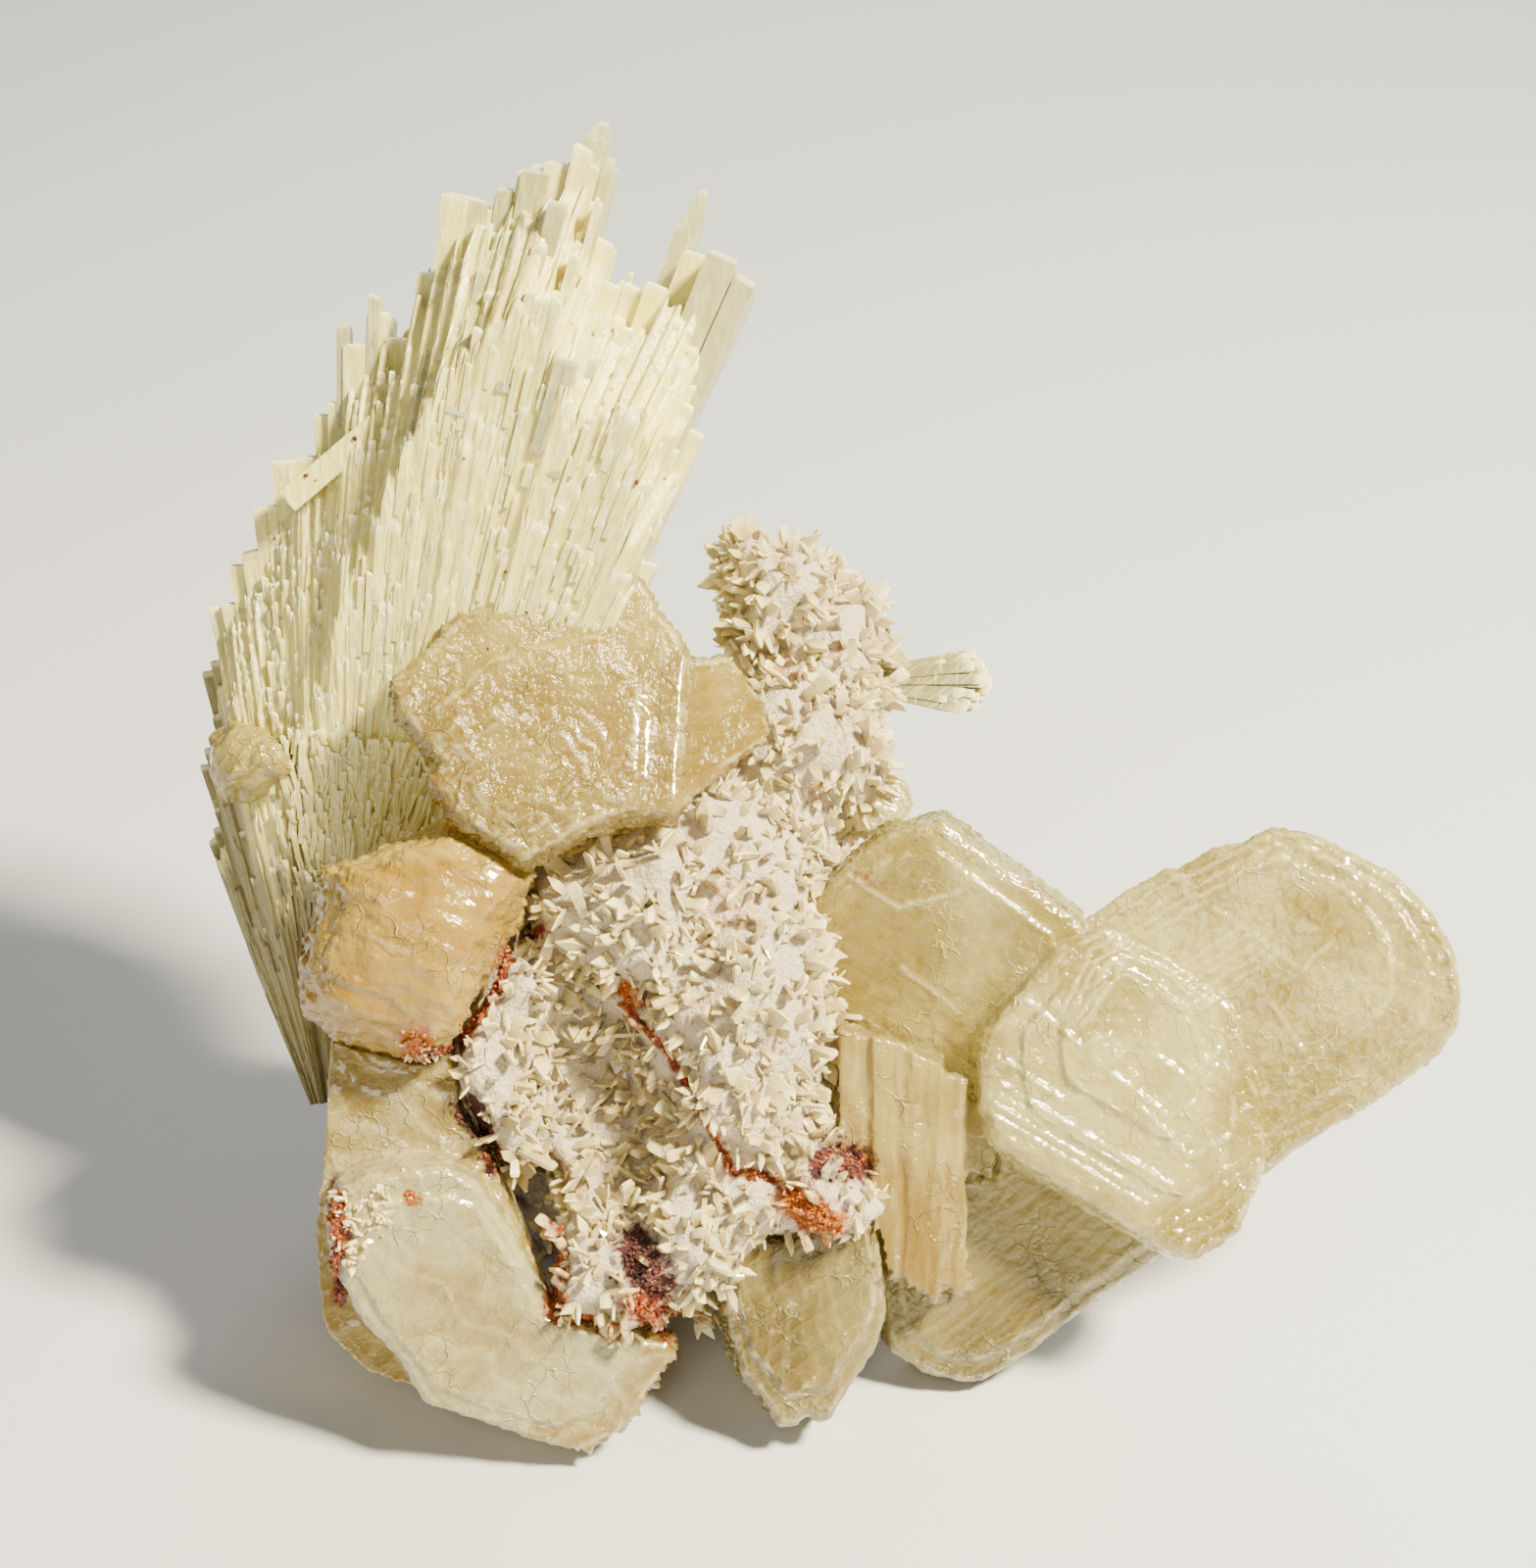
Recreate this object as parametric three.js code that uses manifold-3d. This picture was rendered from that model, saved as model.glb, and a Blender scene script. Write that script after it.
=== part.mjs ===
// Scolecite specimen, about 85 mm across: a fan of white scolecite needles and a handful of
// peach and clear stilbite blades, grown together on a lump of rock whose surface is one crust of
// small druse crystals. Millimetres, +Z up. The origin is the middle of the flat cut under the
// rock, on which the specimen rests.
//
// The specimen has one display face, which leans back from upright by LEAN. Every crystal is
// drawn on that face: x runs to the right, z up along the face, and y into the specimen, so a
// crystal in front has the smaller y. One turned group sets the whole face in place.
import * as THREE from 'three';
import { mergeVertices } from 'three/addons/utils/BufferGeometryUtils.js';
import Module from 'manifold-3d';

// Driving dimensions
const LEAN = THREE.MathUtils.degToRad(29);
const FACE_PLACE = new THREE.Vector3(5, -5, 38);
const GROWTH_GAP = 0.3;
const EDGE_BEVEL = 0.45;
const WELD = 1e-4;

const wasm = await Module();
wasm.setup();

// Solids
// solidOf welds a closed geometry into a solid that can be joined and cut.
function solidOf(geometry) {
  const bare = geometry.clone();
  bare.deleteAttribute('normal');
  bare.deleteAttribute('uv');
  const welded = mergeVertices(bare, WELD);
  const vertProperties = new Float32Array(welded.attributes.position.array);
  const triVerts = new Uint32Array(welded.index.array);
  return new wasm.Manifold(new wasm.Mesh({ numProp: 3, vertProperties, triVerts }));
}

function join(solids) {
  return solids.reduce((whole, piece) => whole.add(piece));
}

// A cut can leave a loose chip, and a crystal is one body, so only the largest part is kept.
function largest(solid) {
  const bodies = solid.decompose();
  bodies.sort((a, b) => b.volume() - a.volume());
  return bodies[0];
}

// carve takes from a solid the room that its neighbours need. A neighbour is a function that
// gives its form grown by a distance on every side.
function carve(solid, neighbours) {
  const room = neighbours.map((grown) => grown(GROWTH_GAP));
  return largest(room.reduce((rest, form) => rest.subtract(form), solid));
}

// Numbers that look random and are the same each time
function dice(seed) {
  let state = seed;
  return (low = 0, high = 1) => {
    state = (state * 1664525 + 1013904223) % 4294967296;
    return low + ((high - low) * state) / 4294967296;
  };
}

// A crystal face is a plane on the display face: at is a point on it, and lean gives how much
// deeper it gets for each millimetre to the right and for each millimetre up.
function faceAxes([across, upward]) {
  const right = new THREE.Vector3(1, across, 0).normalize();
  const front = new THREE.Vector3(across, -1, upward).normalize();
  const up = new THREE.Vector3().crossVectors(front, right);
  return { right, up, front };
}

function ontoFace(outline, at, lean) {
  const { right, up } = faceAxes(lean);
  return outline.map(([x, z]) => {
    const dx = x - at[0];
    const dz = z - at[2];
    const step = new THREE.Vector3(dx, lean[0] * dx + lean[1] * dz, dz);
    return new THREE.Vector2(step.dot(right), step.dot(up));
  });
}

function setOnFace(geometry, at, lean) {
  const { right, up, front } = faceAxes(lean);
  geometry.applyMatrix4(new THREE.Matrix4().makeBasis(right, up, front).setPosition(...at));
  return solidOf(geometry);
}

// A tabular crystal: a flat outline with its front face at the given plane, bevelled round
function plate({ outline, at, lean, thick, bevel = EDGE_BEVEL }, grow = 0) {
  const body = new THREE.ExtrudeGeometry(new THREE.Shape(ontoFace(outline, at, lean)), {
    depth: thick - 2 * bevel + 2 * grow,
    bevelEnabled: bevel > 0 || grow > 0,
    bevelThickness: bevel,
    bevelSize: bevel,
    bevelOffset: grow - bevel,
    bevelSegments: 1,
  });
  body.translate(0, 0, bevel - thick - grow);
  return setOnFace(body, at, lean);
}

// Growth terraces: thinner plates of the same outline, each drawn in towards one point of the
// face, stand on the one below
function terraced(blade, { towards, shares, rise }, grow = 0) {
  const steps = shares.map((share, level) => {
    const lift = rise * (level + 1);
    const { front } = faceAxes(blade.lean);
    return plate({
      ...blade,
      outline: blade.outline.map(([x, z]) => [
        towards[0] + (x - towards[0]) * share,
        towards[1] + (z - towards[1]) * share,
      ]),
      at: blade.at.map((value, axis) => value + front.getComponent(axis) * lift),
      thick: lift + blade.thick / 2,
      bevel: 0,
    }, grow);
  });
  return join([plate(blade, grow), ...steps]);
}

// A swollen crystal group: a ball drawn out to an outline, bulging to the front and the back
function domed({ outline, middle, at, lean, front, back, rings, fullness = 1 }, grow = 0) {
  let flat = ontoFace(outline, at, lean);
  if (THREE.ShapeUtils.isClockWise(flat)) flat = flat.reverse();
  const [centre] = ontoFace([middle], at, lean);
  const ball = new THREE.SphereGeometry(1, flat.length, rings);
  const place = ball.attributes.position;
  const columns = flat.length + 1;
  for (let i = 0; i < place.count; i += 1) {
    const rim = flat[(i % columns) % flat.length];
    const turn = (Math.floor(i / columns) / rings) * Math.PI;
    const spoke = rim.clone().sub(centre);
    spoke.setLength(spoke.length() + grow).multiplyScalar(Math.sin(turn) ** fullness);
    const bulge = Math.cos(turn) > 0 ? front + grow : back + grow;
    place.setXYZ(i, centre.x + spoke.x, centre.y + spoke.y, Math.cos(turn) * bulge);
  }
  return setOnFace(ball, at, lean);
}

// A square prism from a root to a tip, wider at the tip, its end cut off a little aslant
function prism(root, tip, rootSize, tipSize, turn, slant = 0) {
  const axis = tip.clone().sub(root);
  const body = new THREE.BoxGeometry(1, axis.length(), 1);
  const place = body.attributes.position;
  for (let i = 0; i < place.count; i += 1) {
    const size = place.getY(i) > 0 ? tipSize : rootSize;
    const aslant = place.getY(i) > 0 ? place.getX(i) * slant : 0;
    place.setXYZ(i, place.getX(i) * size[0], place.getY(i) + aslant, place.getZ(i) * size[1]);
  }
  body.rotateY(turn);
  const along = new THREE.Quaternion().setFromUnitVectors(
    new THREE.Vector3(0, 1, 0),
    axis.clone().normalize(),
  );
  body.applyQuaternion(along);
  body.translate(...root.clone().add(tip).multiplyScalar(0.5).toArray());
  return solidOf(body);
}

// Stilbite blades
// Each outline is read anticlockwise or clockwise as [x, z] on the display face.
const upperLeaf = {
  outline: [
    [-24.5, 7], [-22, 9], [-20, 11.5], [-18, 12], [-16.5, 13.3], [-15, 12.8], [-12, 13.8],
    [-9, 14.2], [-8, 13.5], [-7.2, 11.6], [-5.8, 10.2], [-5, 8.5], [-5.4, 3], [-5.5, -2],
    [-9, -1.8], [-12, -3], [-15.5, -5], [-17.5, -3.5], [-19.8, -2.2], [-21.8, 0.4],
    [-21, 1.5], [-23.8, 4.6],
  ],
  at: [-14.2, -6, 5.1],
  lean: [0.12, 0.32],
  thick: 3.4,
};
const upperLeafSide = {
  outline: [[-8, 10], [-5, 8.4], [-2.5, 8.8], [0, 5.5], [0.4, 3], [-2.5, 1], [-6, -2.2], [-9, 0]],
  at: [-5.2, -3.6, 4],
  lean: [0.75, 0.3],
  thick: 3.2,
};
const upperLeafTerraces = { towards: [-15, 1], shares: [0.66], rise: 0.3 };

const leftBun = {
  outline: [
    [-29.5, -9], [-30.2, -10.8], [-30.5, -13], [-30.2, -14.8], [-28, -16.6], [-25.6, -17.4],
    [-22.6, -18.2], [-20.6, -17.4], [-19.4, -14.8], [-17.2, -10.8], [-15.2, -6.4], [-15, -4.6],
    [-16.5, -3.2], [-21, -2], [-24, -3.6], [-26.8, -4.8], [-29.2, -5.4],
  ],
  middle: [-22, -9.5],
  at: [-22.6, -4.5, -10.5],
  lean: [0.2, 0.1],
  front: 6.2,
  back: 10.5,
  rings: 8,
  fullness: 0.72,
};
const leftKnob = {
  outline: [
    [-37.6, 3], [-36.2, 4.4], [-34, 3.8], [-31.6, 2.5], [-31.2, 0.6], [-33.8, -0.8],
    [-36, -1.4], [-37.4, 0],
  ],
  middle: [-34.4, 1.5],
  at: [-34.4, 1.2, 1.5],
  lean: [-0.3, 0.2],
  front: 3,
  back: 4.5,
  rings: 6,
};

const frontLeftBack = {
  outline: [
    [-28.6, -15], [-29, -24], [-29.6, -29.5], [-29.4, -32], [-29, -35], [-28.4, -36.2],
    [-26, -38.4], [-22.5, -39.6], [-17, -38.5], [-14.6, -33], [-16.2, -28.8], [-18, -24.8],
    [-20.2, -21.4], [-20.8, -17], [-22.5, -14.5],
  ],
  at: [-22.9, -4.2, -28.4],
  lean: [0.05, 0.04],
  thick: 6,
  bevel: 0,
};
const frontLeftFace = {
  outline: [
    [-27.4, -25.8], [-25.5, -25], [-23, -24.6], [-20.5, -24.6], [-18.6, -25.6], [-16.4, -29],
    [-14.8, -32], [-13.4, -34.8], [-9.4, -36], [-6.6, -36.4], [-5.6, -37], [-6.2, -38],
    [-7.7, -40], [-8.2, -41], [-9.6, -42.6], [-12.2, -43.8], [-15, -43], [-22.2, -40.2],
    [-23.6, -37.5], [-26.2, -34.4], [-27.8, -31], [-28.2, -28],
  ],
  at: [-17.6, -6.6, -33.5],
  lean: [0.16, -0.12],
  thick: 5.6,
};
const frontLeftTerraces = { towards: [-19, -34], shares: [0.8], rise: 0.35 };

const frontMid = {
  outline: [
    [-3.4, -31], [-1, -30], [1.6, -30.2], [4.6, -28.4], [7, -27], [7.8, -31.5], [8, -35], [7, -37.6],
    [5.2, -40.2], [4.2, -41.8], [3.2, -42], [2.6, -41.4], [2, -42.2], [0.8, -42.2],
    [-0.4, -40.2], [-1.8, -38.8], [-2.6, -36],
  ],
  at: [2.4, -3.4, -34.8],
  lean: [0.12, 0.04],
  thick: 5.2,
};
const frontMidTerraces = { towards: [2.4, -30], shares: [0.82], rise: 0.4 };

// The large twin on the right is three tabular blades that pass through one another.
const twinUpper = {
  outline: [
    [3, -8], [5.4, -5.4], [8, -3.6], [11.6, -2.6], [21, -9.5], [21.6, -13], [18, -19],
    [13, -22], [7, -20], [3.4, -15], [2.6, -12],
  ],
  at: [11.6, 1.2, -11.1],
  lean: [-0.1, -0.2],
  thick: 5.4,
};
const twinCentre = {
  outline: [
    [14, -16.5], [19.5, -10.6], [22.5, -9.2], [26.8, -11.2], [30.8, -14.2], [31.8, -17],
    [32.8, -20.8], [32.9, -25.2], [30.9, -29.4], [28.2, -31], [26.3, -30.4], [14.7, -23.4],
    [14, -21],
  ],
  at: [23.4, -3.4, -19.8],
  lean: [0.14, 0.18],
  thick: 5,
};
const twinRight = {
  outline: [
    [20.5, -10], [24, -7.4], [27, -5.6], [27.8, -5.7], [30, -4.3], [32, -3.8], [34, -2.9],
    [36.5, -3.2], [39.2, -4.6], [41.8, -6], [44.2, -8.5], [45.6, -11.2], [45.9, -13.8],
    [45.6, -16], [44.4, -17.8], [40.5, -20.8], [34.8, -24.4], [33, -26], [27.5, -25],
    [21, -18.5],
  ],
  at: [33.2, 0.4, -13.8],
  lean: [-0.18, 0.12],
  thick: 5.4,
};
const twinTerraces = { towards: [24.5, -15.5], shares: [0.74, 0.5], rise: 0.4 };
const twinRightTerraces = { towards: [31, -9.5], shares: [0.86, 0.7], rise: 0.35 };
const twinUpperTerraces = { towards: [8, -13], shares: [0.84], rise: 0.35 };

const rightLower = {
  outline: [
    [9, -22], [14, -20.5], [20.5, -23.5], [28.5, -30.4], [27.4, -32], [22.4, -35.2],
    [18.2, -38.6], [14.8, -40.6], [13.4, -40.8], [10.9, -40.2], [8.2, -38.4], [7.4, -33.5],
  ],
  at: [15.5, 2.2, -32.8],
  lean: [0.1, -0.04],
  thick: 5,
};
const rightLowerTerraces = { towards: [16, -29], shares: [0.84], rise: 0.35 };

// A bundle of thin upright blades, so its face is ribbed from top to bottom
const SHEAF_RIBS = [
  { left: 4.6, right: 7.4, top: -16, foot: -31.4, depth: -2.8 },
  { left: 6.8, right: 9.6, top: -16.4, foot: -32.6, depth: -3.2 },
  { left: 9, right: 11.4, top: -17.4, foot: -34, depth: -3.5 },
  { left: 10.8, right: 13.2, top: -18.6, foot: -33.6, depth: -3.2 },
  { left: 12.6, right: 14.9, top: -20.6, foot: -26.2, depth: -2.8 },
];
const SHEAF_THICK = 5;

function sheaf(grow = 0) {
  const ribs = SHEAF_RIBS.map(({ left, right, top, foot, depth }, i) => plate({
    outline: [[left, foot + 1.2], [left, top], [right, top - 0.8], [right, foot], [right - 0.8, foot]],
    at: [(left + right) / 2, depth, top],
    lean: [i % 2 ? 0.12 : -0.08, -0.02],
    thick: SHEAF_THICK,
    bevel: 0,
  }, grow));
  return join(ribs);
}

const glassyBlade = {
  outline: [[6.5, -0.5], [8.6, 0.8], [9.8, 0], [10.2, -1.4], [9, -3], [7, -3.6]],
  at: [8.3, 5.6, -0.8],
  lean: [0.3, 0.2],
  thick: 1.6,
  bevel: 0.25,
};

// The full form of each crystal, grown by a distance on every side
const leaf = (grow) => terraced(upperLeaf, upperLeafTerraces, grow).add(plate(upperLeafSide, grow));
const bun = (grow) => domed(leftBun, grow);
const knob = (grow) => domed(leftKnob, grow);
const lowLeft = (grow) => plate(frontLeftBack, grow)
  .add(terraced(frontLeftFace, frontLeftTerraces, grow));
const lowMid = (grow) => terraced(frontMid, frontMidTerraces, grow);
const twin = (grow) => terraced(twinUpper, twinUpperTerraces, grow)
  .add(terraced(twinCentre, twinTerraces, grow))
  .add(terraced(twinRight, twinRightTerraces, grow));
const lowRight = (grow) => terraced(rightLower, rightLowerTerraces, grow);
const glassy = (grow) => plate(glassyBlade, grow);

// Rock and crust
// Lumps of the rock as [x, y, z] of the middle and of the radii. The crust on them is spiky with
// small crystals, so it is part of each lump's own surface: every few millimetres a point of the
// surface stands out as the tip of a crystal. The back of the rock is broken more coarsely. An
// edge of the ball that a lump starts from is BALL_EDGE of its radius.
const BALL_EDGE = 1.1;
const CRUST_SPACING = 3;
const BROKEN_SPACING = 5;
const ROCK_LUMPS = [
  { middle: [0.6, 9, 12.8], radii: [3.6, 4.2, 3.8] },
  { middle: [4, 10, 8.6], radii: [4, 4.8, 4.8] },
  { middle: [2, 8.4, 2.4], radii: [5.6, 6.6, 6] },
  { middle: [-4.4, 5.6, -6.6], radii: [9, 9, 7] },
  { middle: [-9.4, 2.4, -8.6], radii: [7, 7.6, 5.8] },
  { middle: [-5.4, 7.4, -17.6], radii: [11, 10.4, 9.6] },
  { middle: [-1.2, 1.2, -16.4], radii: [5.4, 8, 9.6] },
  { middle: [-17, 0.4, -17.6], radii: [3.4, 5, 6.8] },
  { middle: [-4.6, 3.4, -27.4], radii: [9.4, 9.4, 7] },
  { middle: [3.6, -1.6, -26.4], radii: [3.6, 4.4, 3.2] },
  { middle: [-10, -1.8, -33], radii: [4.6, 4.6, 3.6] },
  { middle: [-4, 17, -13], radii: [10, 8.6, 13], spacing: BROKEN_SPACING },
  { middle: [-21.5, 17.5, -19], radii: [9, 8, 12], spacing: BROKEN_SPACING },
  { middle: [-5, 21.5, -29], radii: [16, 12, 12], spacing: BROKEN_SPACING },
];
const CRUST_TIP = { share: 0.3, height: [1.3, 2.3] };
const CRUST_DIP = 0.35;
const HOLLOW = { middle: [-11.4, -6.2, -20.6], radii: [5.6, 8, 9.2], turn: -0.35 };
const HOLLOW_DETAIL = 1;

// A ball of triangles, its corners welded, drawn out to the radii of a lump and put in place
function drawnBall({ middle, radii, turn = 0 }, detail, shift = () => 0) {
  const bare = new THREE.IcosahedronGeometry(1, detail);
  bare.deleteAttribute('normal');
  bare.deleteAttribute('uv');
  const ball = mergeVertices(bare, WELD);
  const place = ball.attributes.position;
  const outward = new THREE.Vector3();
  for (let i = 0; i < place.count; i += 1) {
    outward.fromBufferAttribute(place, i);
    const stands = outward.clone().multiplyScalar(shift());
    const point = new THREE.Vector3(...radii).multiply(outward).add(stands);
    place.setXYZ(i, ...point.toArray());
  }
  ball.rotateY(turn);
  ball.translate(...middle);
  return solidOf(ball);
}

function crustedLump(lump, roll) {
  const mean = Math.cbrt(lump.radii[0] * lump.radii[1] * lump.radii[2]);
  const parts = (BALL_EDGE * mean) / (lump.spacing ?? CRUST_SPACING);
  const { share, height } = CRUST_TIP;
  const shift = () => (roll() < share ? roll(...height) : roll(-CRUST_DIP, CRUST_DIP));
  return drawnBall(lump, Math.max(1, Math.round(parts) - 1), shift);
}

function crustedRock() {
  const roll = dice(11);
  const whole = join(ROCK_LUMPS.map((lump) => crustedLump(lump, roll)));
  return whole.subtract(drawnBall(HOLLOW, HOLLOW_DETAIL));
}

// Everything under the cut is taken away, so that the rock and the lowest blades rest flat.
const FLOOR_SIZE = 300;

function belowCut() {
  const block = new THREE.BoxGeometry(FLOOR_SIZE, FLOOR_SIZE, FLOOR_SIZE);
  block.translate(0, 0, -FLOOR_SIZE / 2);
  block.translate(...FACE_PLACE.clone().negate().toArray());
  block.rotateX(LEAN);
  return solidOf(block);
}

// Scolecite
// The fan radiates from one point. Heads are the stretches of its silhouette: the angle from
// upright where each starts, and how far its needles reach from the point.
const FAN_POINT = new THREE.Vector3(-30.6, 12, -27.4);
const FAN_LEAN = -0.2;
const FAN_HEADS = [
  { from: -20, reach: 25 },
  { from: -17, reach: 30 },
  { from: -13, reach: 36 },
  { from: -10.4, reach: 40 },
  { from: -7.6, reach: 42.5 },
  { from: -4.6, reach: 46 },
  { from: -2.8, reach: 49 },
  { from: 0.6, reach: 52 },
  { from: 2.8, reach: 56.5 },
  { from: 4.2, reach: 58.7 },
  { from: 5.6, reach: 57.2 },
  { from: 7.2, reach: 61.6 },
  { from: 8.3, reach: 66.4 },
  { from: 11.1, reach: 67 },
  { from: 12.2, reach: 69 },
  { from: 14.9, reach: 73 },
  { from: 17, reach: 66 },
  { from: 18.2, reach: 63.6 },
  { from: 21.2, reach: 67.4 },
  { from: 23.6, reach: 67 },
  { from: 25.2, reach: 64.4 },
  { from: 26.4, reach: 57 },
  { from: 27.6, reach: 48 },
];
const FAN_END = 28.8;
const FAN_OVERLAP = 0.12;
const FAN_ROOT = 5;

// From front to back a head goes up and down in steps. Each step has the angle into the display
// face where it starts, and its height as a share of the head's reach, at the fan's left and
// right side.
const FAN_STEPS = [
  { start: -12, left: 0.62, right: 0.85 },
  { start: -7.5, left: 0.84, right: 0.95 },
  { start: -2.5, left: 1, right: 1 },
  { start: 2, left: 0.93, right: 0.92 },
  { start: 6, left: 0.79, right: 0.8 },
];
const FAN_TALLEST = 2;
const FAN_BACK = 10;
const FAN_ROOM = { across: [-22, 30.2], inward: [-14.4, 11.6], reach: [2.5, 78] };
const FAN_FLANK = { angle: -10, slope: 1.15 };
const FAN_JITTER = { step: 0.9, back: 1.2, height: [0.95, 1.02] };
const SPIKE = { angle: 21.2, reach: 71.5, width: 1.5 };

// Single needles that stand a little proud of the steps
const PROUD = { count: 8, width: [1.4, 2.2], root: 0.3, aside: [0.4, 1.4], inward: [0.2, 2.6] };
const PROUD_FIRST_HEAD = 3;

// A point of the fan: the angle from upright across the display face, the angle into it, and
// the distance from the point where all needles meet
function fanPoint(across, inward, reach) {
  const a = THREE.MathUtils.degToRad(across);
  const b = THREE.MathUtils.degToRad(inward);
  const way = new THREE.Vector3(Math.tan(a), Math.tan(b) + FAN_LEAN, 1);
  return FAN_POINT.clone().addScaledVector(way, reach * Math.cos(a));
}

// The wedge of space that the whole fan takes up
function fanRoom(grow) {
  const { across, inward, reach } = FAN_ROOM;
  const wedge = new THREE.BoxGeometry(...[across, inward, reach].map(([low, high]) => high - low));
  const middle = [across, inward, reach].map(([low, high]) => (low + high) / 2);
  wedge.translate(...middle);
  const place = wedge.attributes.position;
  for (let i = 0; i < place.count; i += 1) {
    const corner = fanPoint(place.getX(i), place.getY(i), place.getZ(i) + grow);
    place.setXYZ(i, ...corner.toArray());
  }
  return solidOf(wedge);
}

function stepShare(across, { left, right }) {
  return THREE.MathUtils.lerp(left, right, THREE.MathUtils.smoothstep(across, -4, 15));
}

// On the left flank the front of the fan falls away, so a head there starts further back.
function fanFront(across) {
  return Math.max(0, (FAN_FLANK.angle - across) * FAN_FLANK.slope);
}

// One head: its stepped outline, drawn as angle into the face against reach, is extruded from
// one angle across the face to the next, and then bent to the fan.
function fanHead(from, to, reach, roll) {
  const front = fanFront(from);
  const jitter = FAN_JITTER;
  const outline = [];
  FAN_STEPS.forEach((step, i) => {
    const start = step.start + front * (1 - i / FAN_STEPS.length) + roll(-jitter.step, jitter.step);
    const height = reach * stepShare(from, step) * (i === FAN_TALLEST ? 1 : roll(...jitter.height));
    outline.push([start, outline.length ? outline.at(-1)[1] : FAN_ROOT], [start, height]);
  });
  const back = FAN_BACK + roll(-jitter.back, jitter.back);
  outline.push([back, outline.at(-1)[1]], [back, FAN_ROOT]);
  const shape = new THREE.Shape(outline.map(([inward, height]) => new THREE.Vector2(inward, height)));
  const body = new THREE.ExtrudeGeometry(shape, { depth: to - from, bevelEnabled: false });
  const place = body.attributes.position;
  for (let i = 0; i < place.count; i += 1) {
    const across = from + place.getZ(i);
    place.setXYZ(i, ...fanPoint(across, place.getX(i), place.getY(i)).toArray());
  }
  return solidOf(body);
}

function needle(across, inward, reach, width, roll) {
  const root = fanPoint(across, inward, reach * PROUD.root);
  const tip = fanPoint(across, inward, reach);
  const thin = width / 2;
  return prism(root, tip, [thin, thin], [width, width], roll(-0.5, 0.5), roll(-0.3, 0.3));
}

function fan() {
  const roll = dice(5);
  const solids = FAN_HEADS.map(({ from, reach }, i) => {
    const to = FAN_HEADS[i + 1]?.from ?? FAN_END;
    return fanHead(from - FAN_OVERLAP, to + FAN_OVERLAP, reach, roll);
  });
  for (let i = 0; i < PROUD.count; i += 1) {
    const { from, reach } = FAN_HEADS[PROUD_FIRST_HEAD + i];
    const step = FAN_STEPS[Math.floor(roll(0, FAN_STEPS.length))];
    const inward = step.start + roll(...PROUD.inward);
    const height = reach * stepShare(from, step) * roll(...FAN_JITTER.height);
    solids.push(needle(from + roll(...PROUD.aside), inward, height, roll(...PROUD.width), roll));
  }
  solids.push(needle(SPIKE.angle, 0, SPIKE.reach, SPIKE.width, roll));
  return join(solids);
}

// A square needle broken from the fan, which lies across its left shoulder
const lodged = { root: [-31.6, -3, 18.6], tip: [-25.6, -3.4, 23.6], width: 2.1, turn: 0.4 };

function lodgedPrism(grow = 0) {
  const root = new THREE.Vector3(...lodged.root);
  const tip = new THREE.Vector3(...lodged.tip);
  const axis = tip.clone().sub(root).normalize();
  root.addScaledVector(axis, -grow);
  tip.addScaledVector(axis, grow);
  const side = [lodged.width + 2 * grow, lodged.width + 2 * grow];
  return prism(root, tip, side, side, lodged.turn);
}

// A flat fan of needles behind the top of the rock, of which the tips show
const backFan = {
  root: [4.4, 13, 7.4],
  needles: 4,
  spread: [-9, 10],
  reach: [10.6, 12],
  width: { root: 1.2, tip: 1.9 },
  slant: 0.3,
};

function backNeedles(grow = 0) {
  const roll = dice(3);
  const { needles, spread, reach, width, slant } = backFan;
  const root = new THREE.Vector3(...backFan.root);
  const rootSide = width.root + 2 * grow;
  const tipSide = width.tip + 2 * grow;
  const all = [];
  for (let i = 0; i < needles; i += 1) {
    const angle = THREE.MathUtils.degToRad(THREE.MathUtils.lerp(...spread, i / (needles - 1)));
    const way = new THREE.Vector3(Math.cos(angle), roll(-0.04, 0.04), Math.sin(angle)).normalize();
    const tip = root.clone().addScaledVector(way, roll(...reach) + grow);
    const turn = roll(-0.2, 0.2);
    all.push(prism(root, tip, [rootSide, rootSide], [tipSide, tipSide], turn, slant));
  }
  return join(all);
}

// The pieces, each with the room that the ones it grew against need
const cut = belowCut();

function trimmed(form, neighbours = []) {
  return carve(form(0), neighbours).subtract(cut);
}

const blades = [leaf, bun, knob, lowLeft, lowMid, twin, lowRight, sheaf, glassy];

const pieces = {
  matrix_ridge: trimmed(crustedRock, [...blades, backNeedles, fanRoom]),
  scolecite_spray: trimmed(fan, [leaf, bun, knob, lowLeft, lodgedPrism]),
  lodged_prism: lodgedPrism(),
  scolecite_back_fan: backNeedles(),
  stilbite_upper_leaf: trimmed(leaf),
  stilbite_left_bun: trimmed(bun, [leaf]),
  stilbite_left_knob: trimmed(knob),
  stilbite_front_left: trimmed(lowLeft, [bun]),
  stilbite_front_mid: trimmed(lowMid),
  stilbite_right_twin: trimmed(twin, [sheaf]),
  stilbite_right_lower: trimmed(lowRight, [twin, sheaf, lowMid]),
  stilbite_right_sheaf: trimmed(sheaf, [lowMid]),
  small_glassy_blade: trimmed(glassy, [twin]),
};

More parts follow.
